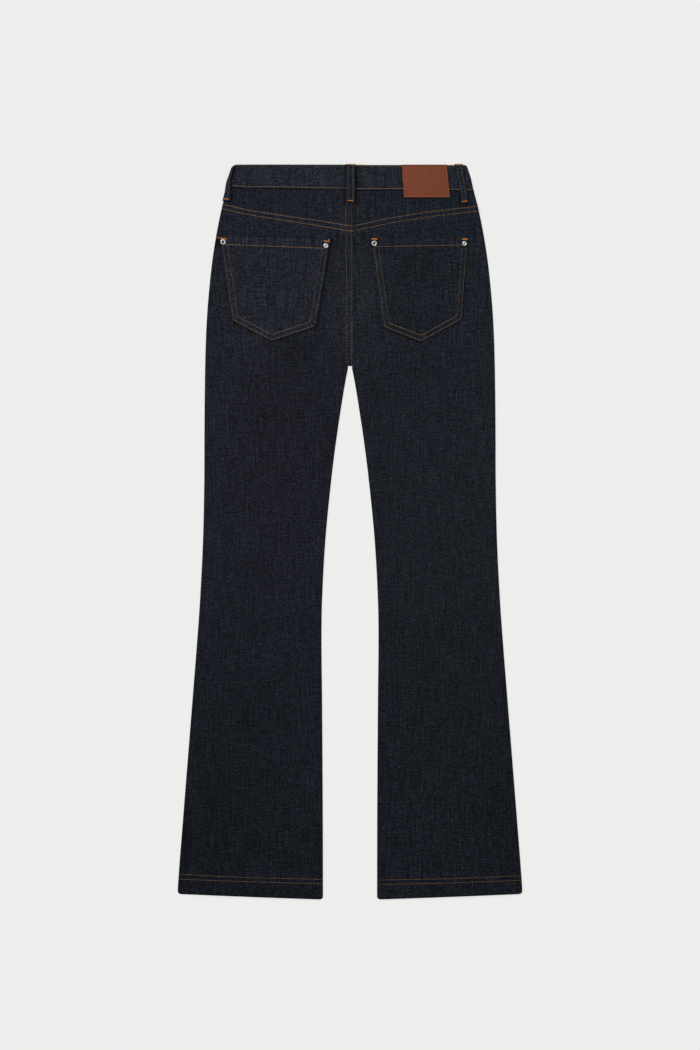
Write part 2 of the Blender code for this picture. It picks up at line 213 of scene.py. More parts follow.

# %% [markdown]
# ## Soft creases
# Pressed raw denim has no sharp folds, only shallow swells and troughs: around the
# crotch, behind the knees and down the flares. Noise alone looks like dough, so the
# main creases are given one by one, each with its own length, width and depth.

# %% Creases
Crease = namedtuple("Crease", "x drop turn length width depth")
BACK_CREASES = [
    # x, drop: middle; turn: degrees from straight down; depth < 0 is a trough
    Crease(-163, 566, 3, 70, 9, -0.45),
    Crease(-112, 590, -2, 110, 10, -0.5),
    Crease(-150, 690, 4, 80, 12, -0.35),
    Crease(-118, 885, -3, 120, 12, -0.45),
    Crease(-186, 965, 6, 150, 22, -0.5),
    Crease(-212, 760, 4, 180, 14, 0.35),
    Crease(-90, 1010, -5, 110, 15, 0.3),
    Crease(-30, 340, -38, 90, 10, -0.5),
    Crease(-55, 318, -62, 110, 9, -0.4),
    Crease(-70, 372, -50, 80, 12, 0.35),
    Crease(34, 345, 34, 100, 10, -0.5),
    Crease(66, 322, 64, 105, 10, -0.4),
    Crease(75, 380, 47, 70, 11, 0.3),
    Crease(62, 690, -12, 60, 16, -0.55),
    Crease(135, 640, 5, 120, 12, 0.35),
    Crease(168, 720, -4, 90, 10, -0.4),
    Crease(225, 968, -6, 140, 20, -0.5),
    Crease(120, 905, 3, 150, 13, -0.4),
    Crease(186, 480, -3, 160, 16, 0.35),
    Crease(-186, 395, 2, 130, 18, 0.4),
    Crease(150, 290, 82, 80, 9, -0.3),
    Crease(-150, 288, -80, 90, 10, -0.3),
]
FRONT_CREASES = [
    Crease(-60, 330, -60, 130, 10, 0.45),
    Crease(-80, 372, -48, 110, 12, 0.35),
    Crease(52, 322, 63, 120, 9, 0.45),
    Crease(84, 360, 52, 140, 11, 0.4),
    Crease(-130, 660, 82, 90, 13, 0.35),
    Crease(140, 640, -80, 80, 11, 0.35),
    Crease(-170, 880, 5, 190, 14, 0.4),
    Crease(115, 930, -4, 160, 13, 0.4),
    Crease(195, 760, -3, 150, 15, 0.35),
    Crease(-100, 520, 2, 140, 16, 0.3),
]
print("creases:", len(BACK_CREASES), "on the back,", len(FRONT_CREASES), "on the front")

# %% [markdown]
# ### Relief
# A low noise fills the cloth between the creases. Every piece of the back reads the
# same relief, so the pockets and yokes lie snugly on the panels. It fades out towards
# the side seams, where the two layers meet.

# %% Relief of the cloth
RELIEF_EDGE = 22.0           # mm in from the seams where it has its full height


def ripple(x, drop, seed):
    """Smooth noise from about -1 to 1; the caller divides x and drop by its size."""
    points = np.stack(np.broadcast_arrays(x, drop, float(seed)), -1).reshape(-1, 3)
    return np.array([noise.noise(point) for point in points.tolist()]).reshape(
        np.shape(x))


def crease_height(table, x, drop):
    height = np.zeros(np.shape(x))
    for crease in table:
        turn = math.radians(crease.turn)
        aside, down = x - crease.x, drop - crease.drop
        across = aside * math.cos(turn) - down * math.sin(turn)
        along = aside * math.sin(turn) + down * math.cos(turn)
        reach = np.clip(1 - (2 * along / crease.length) ** 2, 0, 1) ** 2
        height += crease.depth * reach * np.exp(-(across / crease.width) ** 2)
    return height


def swell(x, drop, seed):
    """Broad swells, longer down the leg than across it."""
    return ripple(x / 46, drop / 95, seed) + 0.25 * ripple(x / 19, drop / 34, seed + 7)


def inside(x, drop, width):
    """0 on the side seams and inseams, 1 from that width inwards."""
    side = half_width(drop) - np.abs(x)
    inseam = np.abs(x) - half_gap(drop) + np.where(drop < CROTCH_DROP,
                                                  CROTCH_DROP - drop, 0)
    return ease(np.minimum(side, inseam) / width)


def back_relief(x, drop):
    waist = ease((drop - BAND_HEIGHT) / 60)
    soft = 0.42 * swell(x, drop, 3) * (0.35 + 0.65 * waist)
    return (soft + crease_height(BACK_CREASES, x, drop)) * inside(x, drop, RELIEF_EDGE)


def front_relief(x, drop):
    """Only upwards, off the surface."""
    soft = 0.3 + 0.3 * swell(x, drop, 11)
    height = np.clip(soft + crease_height(FRONT_CREASES, x, drop), 0, 1.1)
    return height * inside(x, drop, RELIEF_EDGE)


def pucker(along, away, seed, size=8.0, reach=5.0):
    """The small ripples that a row of topstitching draws into the cloth beside it."""
    return ripple(along / size, away / 14, seed) * np.exp(-(away / reach) ** 2)


sample = back_relief(np.linspace(-210.0, 210.0, 200), np.full(200, 700.0))
print("relief across both knees:", round(float(np.ptp(sample)), 2), "mm")

# %% [markdown]
# ## Shade of the cloth
# Raw indigo denim is nearly black. Its colour here also carries painted light:
# painted highlights where the cloth stands up over a thick seam or a fold, painted
# shadow in the lee of a pocket or loop, painted shade along rows of stitches, and it
# darkens towards the hems. Each point of a mesh holds this shade as a colour, and the
# denim's material multiplies its own colour by it.

# %% Shade along the legs
Shade = namedtuple("Shade", "drop tone grain")       # grain: how strong the slubs show
SHADES = [
    Shade(0, 1.10, 1.08),
    Shade(60, 1.10, 1.1),
    Shade(130, 1.15, 1.1),
    Shade(260, 1.15, 1.0),
    Shade(420, 1.03, 0.93),
    Shade(600, 1.0, 0.95),
    Shade(800, 0.84, 1.02),
    Shade(960, 0.75, 1.16),
    Shade(1101, 0.69, 1.32),
]
# A soft spot: its middle, how far it reaches across and down, and how much paler it is.
# The spots are partly uneven tone and partly painted shade and shadow.
Spot = namedtuple("Spot", "x drop wide tall change")
SPOTS = [
    # along the centre seam
    Spot(0, 225, 26, 75, 0.2), Spot(-20, 190, 13, 60, 0.07), Spot(24, 190, 12, 58, 0.16),
    Spot(-11, 80, 7, 13, 0.3), Spot(1, 78, 3, 12, -0.15), Spot(-7, 305, 9, 16, -0.2),
    # the yokes and the waistband, with painted shadow below the patch
    Spot(-110, 98, 80, 9, 0.1), Spot(110, 95, 70, 9, -0.08), Spot(-115, 103, 70, 5, -0.07),
    Spot(-26, 62, 24, 20, 0.14), Spot(20, 48, 8, 20, 0.1), Spot(115, 56, 38, 6, -0.1),
    Spot(45, 18, 20, 20, -0.06), Spot(-174, 19, 9, 16, 0.12), Spot(184, 55, 8, 14, 0.14),
    # on and round the pockets, with painted shadow beside their top corners and below
    # their lower edges
    Spot(-198, 116.5, 3.5, 5.5, -0.88), Spot(178, 114, 3, 7, -0.45),
    Spot(-28, 113, 3, 8, -0.35),
    Spot(-152, 268, 30, 12, 0.16), Spot(-150, 257, 28, 10, 0.13),
    Spot(-82, 274, 30, 12, -0.2), Spot(-82, 263, 34, 8, -0.16),
    Spot(75, 240, 30, 16, -0.09), Spot(140, 240, 25, 14, -0.12),
    Spot(-120, 165, 18, 20, -0.12), Spot(-74, 200, 17, 17, 0.16),
    Spot(102, 145, 26, 30, -0.1), Spot(44, 145, 9, 36, 0.14),
    Spot(36, 178, 5, 50, 0.08), Spot(56, 190, 7, 46, 0.1),
    Spot(95, 230, 60, 110, -0.04), Spot(95, 297, 56, 24, -0.14),
    # down the outer sides
    Spot(-206, 190, 14, 70, -0.04), Spot(206, 190, 14, 70, -0.05),
    Spot(-186, 380, 26, 60, 0.12), Spot(199, 420, 16, 60, 0.15),
    Spot(-206, 540, 10, 60, 0.1), Spot(-233, 800, 12, 75, -0.11),
    Spot(236, 805, 8, 50, -0.12), Spot(-250, 1015, 10, 85, -0.27),
    Spot(-196, 965, 34, 70, -0.12), Spot(226, 970, 30, 70, -0.12),
    # down the legs, partly painted shade of swells and troughs
    Spot(-110, 330, 80, 55, -0.08), Spot(-60, 290, 55, 18, -0.08),
    Spot(32, 345, 22, 26, -0.12), Spot(-31, 420, 10, 70, -0.14),
    Spot(-150, 390, 24, 24, -0.1), Spot(120, 425, 45, 55, 0.06),
    Spot(45, 480, 9, 110, -0.09), Spot(110, 520, 100, 90, 0.02),
    Spot(-55, 570, 14, 50, 0.07), Spot(61, 690, 18, 26, -0.12),
    Spot(-150, 640, 22, 34, -0.07), Spot(125, 610, 22, 40, -0.05),
    Spot(-92, 712, 40, 22, 0.11), Spot(140, 705, 34, 14, -0.11),
    Spot(110, 780, 20, 70, -0.05), Spot(75, 740, 18, 16, -0.07),
    Spot(-155, 825, 24, 55, -0.1), Spot(-66, 880, 24, 85, 0.1),
    Spot(43, 888, 8, 26, -0.14), Spot(100, 960, 36, 60, 0.05),
    Spot(-190, 900, 45, 200, -0.025),
    # towards the hems
    Spot(-150, 1080, 120, 110, -0.07), Spot(150, 1080, 120, 110, 0.04),
    Spot(-92, 1065, 48, 16, 0.08), Spot(88, 1100, 40, 9, 0.22),
]
print("soft spots of shade:", len(SPOTS))

# %% [markdown]
# ### Hue
# Two lots of cloth never match quite: the left leg is a little redder than the right
# one. This is told by soft spots again, with a list for each colour of light.

# %% Hue of the cloth
TINTS = [                    # for red, green and blue light
    [Spot(-110, 400, 110, 260, 0.1), Spot(120, 120, 100, 110, -0.07),
     Spot(0, 1080, 400, 110, -0.08), Spot(0, 850, 260, 150, -0.03),
     Spot(-190, 880, 100, 190, -0.03), Spot(30, 480, 22, 260, -0.04),
     Spot(-130, 55, 55, 12, -0.07), Spot(110, 92, 95, 12, -0.07),
     Spot(160, 45, 30, 22, -0.09)],
    [Spot(-110, 430, 110, 230, -0.03), Spot(-90, 590, 60, 110, -0.03),
     Spot(120, 480, 110, 420, 0.012)],
    [Spot(110, 640, 120, 560, -0.035), Spot(-110, 85, 100, 26, 0.04),
     Spot(-110, 180, 72, 55, -0.03), Spot(105, 155, 70, 40, -0.03),
     Spot(22, 190, 20, 90, -0.07), Spot(200, 480, 30, 220, -0.04),
     Spot(-48, 700, 28, 330, 0.045), Spot(45, 860, 20, 170, 0.05),
     Spot(110, 1000, 90, 80, 0.03)],
]
print("soft spots of hue:", sum(map(len, TINTS)))

# %% [markdown]
# ### What lies on the back
# A pocket's outline goes from its top left corner down and round to its top right one,
# and the patch and the loops are given in the same order. So one rule finds how far a
# point lies in from each side.

# %% Outlines
Pocket = namedtuple("Pocket", "top_left low_left point low_right top_right")
POCKETS = {
    "left": Pocket((-195.0, 107.0), (-177.1, 233.0), (-117.2, 264.9), (-50.9, 242.6),
                   (-28.6, 112.4)),
    "right": Pocket((31.4, 110.4), (49.4, 243.6), (106.9, 266.1), (168.2, 232.2),
                    (177.4, 109.7)),
}
Loop = namedtuple("Loop", "top low width low_width")
BACK_LOOPS = {
    "centre_back_loop": Loop((1.0, -LOOP_RISE), (0.5, 57.4), 13.7, 13.6),
    "right_back_loop": Loop((162.9, -LOOP_RISE), (172.6, 58.9), 12.0, 10.2),
}
SIDE_LOOP_TOP, SIDE_LOOP_LOW = 0.6, 54.5
LoopEdge = namedtuple("LoopEdge", "drop x")
SIDE_LOOP_EDGES = [          # its inner edge, which leans in at the top
    LoopEdge(0, -173.7), LoopEdge(6, -174.3), LoopEdge(11, -175.9), LoopEdge(17, -177.1),
    LoopEdge(24, -177.9), LoopEdge(32, -178.5), LoopEdge(55, -178.6),
]
Patch = namedtuple("Patch", "top_left low_left low_right top_right")
PATCH = Patch((77.6, 0.1), (80.9, 49.0), (149.7, 49.1), (144.8, 0.1))


def loop_outline(loop, start=0.0):
    """The four corners of a loop, from part of the way down to its low end."""
    top, low = np.array(loop.top), np.array(loop.low)
    begin, half = lerp(top, low, start), lerp(loop.width, loop.low_width, start) / 2
    return [begin - (half, 0), low - (loop.low_width / 2, 0),
            low + (loop.low_width / 2, 0), begin + (half, 0)]


def unit(vector):
    return vector / np.linalg.norm(vector)


def edge_distances(outline, x, drop):
    """Distance in from each side of an outline, negative outside it."""
    outline = [np.array(corner) for corner in outline]
    found = []
    for a, b in zip(outline, outline[1:] + outline[:1]):
        along = unit(b - a)
        found.append((x - a[0]) * along[1] - (drop - a[1]) * along[0])
    return found


depth = edge_distances(POCKETS["left"], *POCKETS["left"].point)[-1]
print("left pocket:", round(float(depth)), "mm deep")

# %% [markdown]
# ### Painted shadow beside them
# The cloth beside a raised edge is darkened in its colour: painted shadow for the light
# that the edge keeps off. Each side of an outline has its own depth of painted shadow
# and its own reach, because the light comes from one side and no two edges lie down alike.

# %% Painted shadow beside raised edges
PaintedLeeShadow = namedtuple("PaintedLeeShadow", "outline depths reaches")
PAINTED_LEE_SHADOWS = [       # depth of painted shadow beside each side, from the left one round to the top one
    PaintedLeeShadow(POCKETS["left"], (0.34, 0.3, 0.44, 0.74, 0.18), (3.0, 1.6, 3.0, 3.0, 3.0)),
    PaintedLeeShadow(POCKETS["right"], (0.24, 0.75, 0.32, 0.08, 0.08), (3.4, 1.9, 2.7, 3.0, 3.0)),
    PaintedLeeShadow(loop_outline(BACK_LOOPS["centre_back_loop"]), (0.95, 0.6, 0.85, 0),
        (2.2, 2.2, 5.0, 1)),
    PaintedLeeShadow(loop_outline(BACK_LOOPS["right_back_loop"]), (0.4, 0.6, 0.32, 0), (2.4,) * 4),
    PaintedLeeShadow(loop_outline(BACK_LOOPS["right_back_loop"], 0.6), (0.5, 0, 0.6, 0), (2.0,) * 4),
    PaintedLeeShadow([(-200, -5), (-200, 18), (-177.2, 18), (-173.4, -5)], (0, 0.2, 0.88, 0),
        (2.0, 2.0, 3.2, 1)),
    PaintedLeeShadow([(-200, 17), (-200, SIDE_LOOP_LOW), (-178.6, SIDE_LOOP_LOW), (-177.4, 17)],
        (0, 0.4, 0.72, 0), (1.7,) * 4),
    PaintedLeeShadow(PATCH, (0.6, 0.62, 0.4, 0), (2.0, 1.7, 2.0, 1)),
]


def spots(table, x, drop):
    total = 0
    for spot in table:
        far = ((x - spot.x) / spot.wide) ** 2 + ((drop - spot.drop) / spot.tall) ** 2
        total = total + spot.change * np.exp(-far)
    return total


def back_tone(x, drop):
    return read(SHADES, "tone", drop) + spots(SPOTS, x, drop)


def painted_lee_shadow(x, drop):
    """The painted shadow on the cloth beside what lies on it: 1 away from everything."""
    shade = np.ones(np.shape(x))
    for painted_shadow in PAINTED_LEE_SHADOWS:
        outside = -np.array(edge_distances(painted_shadow.outline, x, drop))
        nearest = np.argmax(outside, axis=0)
        far = np.maximum(outside.max(axis=0), 0) / np.array(painted_shadow.reaches)[nearest]
        shade *= 1 - np.array(painted_shadow.depths)[nearest] * np.exp(-far ** 1.5)
    return shade


def painted_line_shade(away, depth, reach=1.3):
    """Painted shade along a line, such as the groove that a row of stitches pulls in or
    the foot of a folded edge: 1 away from the line.
    """
    return 1 - depth * np.exp(-(away / reach) ** 2)


def paler(amount, inside, soft):
    """The shade of a band of cloth: 1 outside it, and 1 + amount from soft mm inside."""
    return 1 + amount * ease(inside / soft)


print("things that shade the cloth beside them:", len(PAINTED_LEE_SHADOWS))

# %% [markdown]
# ## Materials
# Blender works in linear light, while a dye house names colours in sRGB. One function
# turns hex colours to linear, and one adds a node with its settings and links. Every
# material here ends the same way, so one function joins its colour and its bump.

# %% Colours and nodes
def linear(hex_colour):
    """sRGB hex to linear, with alpha."""
    parts = [int(hex_colour[i:i + 2], 16) / 255 for i in (1, 3, 5)]
    return [p / 12.92 if p <= 0.04045 else ((p + 0.055) / 1.055) ** 2.4
            for p in parts] + [1.0]


def add_node(tree, kind, links=None, values=None, **settings):
    """A node with its settings, its input values, and links given by input name."""
    node = tree.nodes.new("ShaderNode" + kind)
    for name, value in settings.items():
        setattr(node, name, value)
    for name, value in (values or {}).items():
        node.inputs[name].default_value = value
    for name, output in (links or {}).items():
        tree.links.new(output, node.inputs[name])
    return node


def new_material(name, values):
    """A material with a Principled shader, and that shader."""
    material = bpy.data.materials.new(name)
    material.use_nodes = True
    shader = material.node_tree.nodes["Principled BSDF"]
    for socket, value in values.items():
        shader.inputs[socket].default_value = value
    return material, shader


def join(tree, shader, colour, height, strength, distance):
    """Joins a colour and a height to the shader. distance: the bump's depth, metres."""
    tree.links.new(colour, shader.inputs["Base Color"])
    bump = add_node(tree, "Bump", {"Height": height},
                    {"Strength": strength, "Distance": distance})
    tree.links.new(bump.outputs["Normal"], shader.inputs["Normal"])


def between(tree, noise_out, spread, low, high):
    """One colour where the noise is low, the other where it is high. spread: how far
    from the noise's middle only one of them is left."""
    share = add_node(tree, "MapRange", {"Value": noise_out},
                     {"From Min": 0.5 - spread, "From Max": 0.5 + spread})
    return add_node(tree, "Mix", {0: share.outputs["Result"]}, {6: low, 7: high},
                    data_type="RGBA").outputs[2]


print("sRGB #808080 is", round(linear("#808080")[0], 3), "in linear light")

# %% [markdown]
# ### Grain in real lengths
# Denim's warp threads have slubs, thick places a few centimetres long, that run down
# the leg as faint streaks. Noise is drawn out to such lengths in metres. It reads a UV
# map laid out like the flat cut piece, so the grain follows the cloth round its rolled
# edges. Threads lie 0.4 mm apart, which is too fine to show, so the streaks and specks
# are 1.5 to 3 mm wide and the twill's ribs 1.1 mm apart.

# %% Noise for grain
SLUB_WIDTH, SLUB_LENGTH = 0.0021, 0.045      # metres
WEFT_WIDTH, WEFT_LENGTH = 0.0015, 0.009      # threads that run across
THICK_WIDTH, THICK_LENGTH = 0.003, 0.028     # and thicker ones among them
SPECK = 0.0026
MOTTLE = 0.0075              # patches where the dye took a little more or less
HUE_PATCH = 0.0062
TWILL_PITCH = 0.0011


def grain_noise(tree, grain, across, down, seed, detail=1.0):
    """Noise whose bumps are across by down metres in the flat cut piece."""
    place = add_node(tree, "Mapping", {"Vector": grain.outputs["UV"]},
                     {"Scale": (1 / across, 1 / down, 1), "Location": (seed, seed, 0)})
    noise_node = add_node(tree, "TexNoise", {"Vector": place.outputs["Vector"]},
                          {"Scale": 1.0, "Detail": detail, "Roughness": 0.5},
                          noise_dimensions="2D")
    return noise_node.outputs["Fac"]


def weighted(tree, parts, start=1.0):
    """start + the sum of weight * (noise - 0.5)."""
    total = None
    for noise_out, weight in parts:
        shift = start - 0.5 * weight if total is None else -0.5 * weight
        term = add_node(tree, "Math", {0: noise_out}, {1: weight, 2: shift},
                        operation="MULTIPLY_ADD").outputs[0]
        total = term if total is None else add_node(
            tree, "Math", {0: total, 1: term}, operation="ADD").outputs[0]
    return total


print("a slub is", round(SLUB_LENGTH / SLUB_WIDTH), "times longer than wide")

# %% [markdown]
# ### Raw denim
# Denim is a 3/1 twill: the face shows mostly the indigo warp. The dye sits on the
# outside of the thread, so it is matt, with no clear highlight. The layers of grain
# are added up and squared: pale flecks then stand out more than dark ones do, as on
# real denim, where a little of the white weft shows between the dark warp.

# %% Denim
WAVE_TURN = 2 * math.pi / 20                 # length of one band of a Wave at scale 1
GREENISH, REDDISH = (0.91, 1.04, 1.0, 1.0), (1.09, 0.96, 1.0, 1.0)
BLUISH, SALLOW = (1.0, 0.985, 1.07, 1.0), (1.0, 1.015, 0.93, 1.0)
TWILL_LEAN = 27              # degrees that the ribs lean from the warp
MIDDLE_LEVEL = 0.979         # before it is squared, so that the mean stays at 1
LEAST_LEVEL = 0.4
HUE_SPREAD = 0.18


def denim_material(name, blue, grey, contrast, with_tone):
    material, shader = new_material(name, {
        "Roughness": 0.9, "Specular IOR Level": 0.08, "IOR": 1.5,
        "Sheen Weight": 0.012, "Sheen Roughness": 0.5})
    tree = material.node_tree
    grain = add_node(tree, "UVMap", uv_map="grain")
    slub = grain_noise(tree, grain, SLUB_WIDTH, SLUB_LENGTH, 0)
    weft = grain_noise(tree, grain, WEFT_LENGTH, WEFT_WIDTH, 5)
    thick = grain_noise(tree, grain, THICK_LENGTH, THICK_WIDTH, 17)
    speck = grain_noise(tree, grain, SPECK, SPECK, 9)
    hue = grain_noise(tree, grain, 2 * SPECK, 3 * SPECK, 13)
    mottle = grain_noise(tree, grain, MOTTLE, 1.3 * MOTTLE, 31, 2.0)
    lean = add_node(tree, "Mapping", {"Vector": grain.outputs["UV"]},
                    {"Rotation": (0, 0, math.radians(-TWILL_LEAN))})
    wave = add_node(tree, "TexWave", {"Vector": lean.outputs["Vector"]},
                    {"Scale": WAVE_TURN / TWILL_PITCH, "Distortion": 0.6,
                     "Detail": 1.0, "Detail Scale": 2.0},
                    bands_direction="X")
    twill = wave.outputs["Fac"]
    shares = ((slub, 1.11), (weft, 0.85), (thick, 0.61), (mottle, 0.5), (speck, 2.14),
              (twill, 0.45))
    level = weighted(tree, [(part, share * contrast) for part, share in shares], 0.0)
    if with_tone:
        tone = add_node(tree, "Attribute", attribute_name="tone")
        level = add_node(tree, "Math", {0: level, 1: tone.outputs["Alpha"]},
                         operation="MULTIPLY").outputs[0]
    for operation, values in (("MULTIPLY_ADD", {1: 0.5, 2: MIDDLE_LEVEL}),
                              ("MAXIMUM", {1: LEAST_LEVEL}), ("POWER", {1: 2.0})):
        level = add_node(tree, "Math", {0: level}, values,
                         operation=operation).outputs[0]
    dye = between(tree, hue, HUE_SPREAD, linear(blue), linear(grey))
    for seed, low, high in ((23, GREENISH, REDDISH), (37, BLUISH, SALLOW)):
        cast = grain_noise(tree, grain, HUE_PATCH, 1.2 * HUE_PATCH, seed)
        tint = between(tree, cast, HUE_SPREAD, low, high)
        dye = add_node(tree, "VectorMath", {0: dye, 1: tint},
                       operation="MULTIPLY").outputs["Vector"]
    lit = add_node(tree, "VectorMath", {0: dye, 1: level}, operation="MULTIPLY")
    if with_tone:
        lit = add_node(tree, "VectorMath", {0: lit.outputs[0], 1: tone.outputs["Color"]},
                       operation="MULTIPLY")
    height = weighted(tree, [(twill, 0.5), (slub, 0.7), (speck, 0.5)])
    join(tree, shader, lit.outputs["Vector"], height, 0.5, 0.00022)
    return material


denim = denim_material("raw_indigo_denim", "#171B24", "#1C1E25", 1.2, True)
denim_inside = denim_material("denim_wrong_side", "#4A5262", "#5C5F66", 0.7, False)
print("materials:", denim.name, denim_inside.name)

# %% [markdown]
# ## A shell of denim
# Every cut piece starts as a flat grid of points. A rule for the piece moves each
# point to its place, so rows and columns follow the seams, and the edges roll over as
# folded denim does. Solidify then gives the cloth its wall, with the pale wrong side
# inside. A cloth simulation would wrinkle the jeans, but these were pressed and laid
# out by hand, so a rule for the form is closer to them.

# %% Grid lines and rolled edges
EDGE_STEPS = (0.0, 0.1, 0.4, 0.9, 1.6, 2.5)      # mm in from a rolled edge
FOLD_STEPS = (0.0, 0.06, 0.25, 0.55, 1.0)        # mm in from a folded edge
FOLD_RADIUS = 0.95
TUCK = 1.8                   # how far a piece runs on under the seam above it
TUCK_DIP = 0.35


class Lines:
    """Grid lines between two edges: close together at both, even between them."""

    def __init__(self, length, pitch, near=EDGE_STEPS, far=EDGE_STEPS):
        room = length - near[-1] - far[-1]
        inner = np.linspace(0, 1, max(2, round(room / pitch)) + 1)[1:-1]
        self.fixed = np.concatenate([near, near[-1] - inner * (near[-1] + far[-1]),
                                     -np.array(far)[::-1]])
        self.share = np.concatenate([np.zeros(len(near)), inner, np.ones(len(far))])
        self.steps = len(self.fixed) - 1

    def at(self, index, length):
        """Where lines lie, for any length near the one that they were made for."""
        return self.fixed[index] + self.share[index] * length

    def every(self, length):
        """Where all the lines lie."""
        return self.at(np.arange(self.steps + 1), length)


def roll(away, radius):
    """How far a rounded edge has fallen, at a distance in from it."""
    part = 1 - np.clip(away / radius, 0, 1)
    return radius * (1 - np.sqrt(1 - part ** 2))


def unrolled(away, radius):
    """How much longer the cloth is than its plan, from inside the roll outwards."""
    part = 1 - np.clip(away / radius, 0, 1)
    return radius * (np.arcsin(part) - part)


print("round a folded edge the cloth is", round(float(unrolled(0, FOLD_RADIUS)), 2),
      "mm longer than its plan")

# %% [markdown]
# ### Meshes and objects
# Every piece ends the same way: its bmesh becomes a mesh, the mesh an object with its
# materials, and the modifiers are applied, so that what is kept is a plain mesh.

# %% Meshes and objects
SHARP_ANGLE = 55             # degrees: only the wall's cut edges are sharper


def as_mesh(bm, name):
    """A mesh of what the bmesh holds, which is then freed."""
    mesh = bpy.data.meshes.new(name)
    bm.to_mesh(mesh)
    bm.free()
    return mesh


def add_object(mesh, *materials):
    """An object in the scene, named like its mesh."""
    for material in materials:
        mesh.materials.append(material)
    obj = bpy.data.objects.new(mesh.name, mesh)
    bpy.context.scene.collection.objects.link(obj)
    return obj


def finish_mesh(obj):
    """Applies the modifiers and shades the mesh smooth, apart from its cut edges."""
    graph = bpy.context.evaluated_depsgraph_get()
    mesh = bpy.data.meshes.new_from_object(
        obj.evaluated_get(graph), preserve_all_data_layers=True, depsgraph=graph)
    mesh.name = obj.name
    obj.modifiers.clear()
    obj.data = mesh
    mesh.shade_smooth()
    mesh.set_sharp_from_angle(angle=math.radians(SHARP_ANGLE))


print("cut edges are sharp from", SHARP_ANGLE, "degrees")

# %% [markdown]
# ### From a grid to a solid piece
# The grid's points keep their flat positions as a UV map, which carries the grain, and
# their shade goes into a colour attribute. The flat extent is also the size that a
# maker would cut, so it is handed back with the object.

# %% Cloth from a grid
CLOTH_WALL = 0.85
Place = namedtuple("Place", "x drop z across down tone")     # across, down: in the cut
Cloth = namedtuple("Cloth", "obj width length area")


def cloth(name, columns, rows, place, up=1, trim=None, wall=CLOTH_WALL,
          materials=(denim, denim_inside), rim=0, hue=(1, 1, 1)):
    """A shell from a grid. place(column, row) gives a Place, up is -1 for a piece that
    faces down, and trim(column, row) is true for points that are left out."""
    bm = bmesh.new()
    bmesh.ops.create_grid(bm, x_segments=columns, y_segments=rows, size=0.5)
    if trim:
        spare = [v for v in bm.verts if trim(round((v.co.x + 0.5) * columns),
                                             round((0.5 - v.co.y) * rows))]
        bmesh.ops.delete(bm, geom=spare, context="VERTS")
    mesh = as_mesh(bm, name)
    points = np.empty(len(mesh.vertices) * 3)
    mesh.vertices.foreach_get("co", points)
    points = points.reshape(-1, 3)
    spot = place(np.rint((points[:, 0] + 0.5) * columns).astype(int),
                 np.rint((0.5 - points[:, 1]) * rows).astype(int))
    points = np.stack([spot.x, WAIST_Y - spot.drop, spot.z], -1) * MM
    mesh.vertices.foreach_set("co", points.ravel())
    flat = np.stack([spot.across, -spot.down], -1) * MM
    corners = np.empty(len(mesh.loops), np.int32)
    mesh.loops.foreach_get("vertex_index", corners)
    mesh.uv_layers.new(name="grain").data.foreach_set("uv", flat[corners].ravel())
    shade = np.empty((len(points), 4))
    for i, tint in enumerate(TINTS):
        shade[:, i] = spot.tone * hue[i] * (1 + spots(tint, spot.x, spot.drop))
    shade[:, 3] = read(SHADES, "grain", spot.drop)
    tone = mesh.attributes.new("tone", "FLOAT_COLOR", "POINT")
    tone.data.foreach_set("color", shade.ravel())
    mesh.update()
    if sum(face.normal.z for face in mesh.polygons) * up < 0:
        mesh.flip_normals()
    quads = flat[corners].reshape(-1, 4, 2)
    first, second = quads[:, 2] - quads[:, 0], quads[:, 3] - quads[:, 1]
    area = np.abs(first[:, 0] * second[:, 1] - first[:, 1] * second[:, 0]).sum() / 2
    obj = add_object(mesh, *materials)
    solid = obj.modifiers.new("wall", "SOLIDIFY")
    solid.thickness = wall * MM
    solid.offset = -1.0
    solid.material_offset = len(materials) - 1
    solid.material_offset_rim = rim
    finish_mesh(obj)
    width, length = np.ptp(flat, axis=0)
    print(f"{name}: {len(obj.data.polygons)} faces, cut {width:.3f} x {length:.3f} m")
    return Cloth(obj, width, length, area)


print("a wall of denim is", CLOTH_WALL, "mm thick")

# %% [markdown]
# ## Leg panels
# A back leg runs from the yoke to the hem in one piece. The two halves of the seat
# meet in a flat-felled seam: the left one folds over the right one, four layers of
# denim thick, and is sewn down with two rows. The hem is turned up 30 mm inside, so
# it is built turned up too, and the open leg shows it.
# The seat has a narrow strip of extra columns for the felled seam. They stop at the
# crotch, where the columns beside them go on down the inseam.

# %% The seat seam and the fly
GAP_EDGE = 3.0               # the gap between the legs starts this far from the centre
FLY_FOLD = 1.5               # how far the front's left half laps over the right one
SEAT_ROWS = (-5.5, 2.6)
FELL_RISE = 0.8              # how much the felled seat seam stands up
FELL_BACK = 8.5              # how far left of the centre it starts


def seat_seam(x, drop, left, top):
    """The felled seam: the left half stands up and folds over, the right half dips
    under it."""
    if left:
        rise = FELL_RISE * ease((x + FELL_BACK) / 2.5) * ease((drop - top - 2) / 5)
        rise *= ease((CROTCH_DROP - drop) / 4)
        fold = np.where(drop < CROTCH_DROP, roll(CENTRE_SEAM - x, FOLD_RADIUS), 0)
        return rise - fold
    return -TUCK_DIP * (1 - ease((x - GAP_EDGE) / 3.5)) * (drop < CROTCH_DROP)


def fly_fold(x, drop, left):
    """The front's centre seam, seen from below: the left half laps over the right."""
    if left:
        return np.where(drop < CROTCH_DROP, roll(FLY_FOLD - x, FOLD_RADIUS), 0)
    return TUCK_DIP * (1 - ease(x / 3.5)) * (drop < CROTCH_DROP)


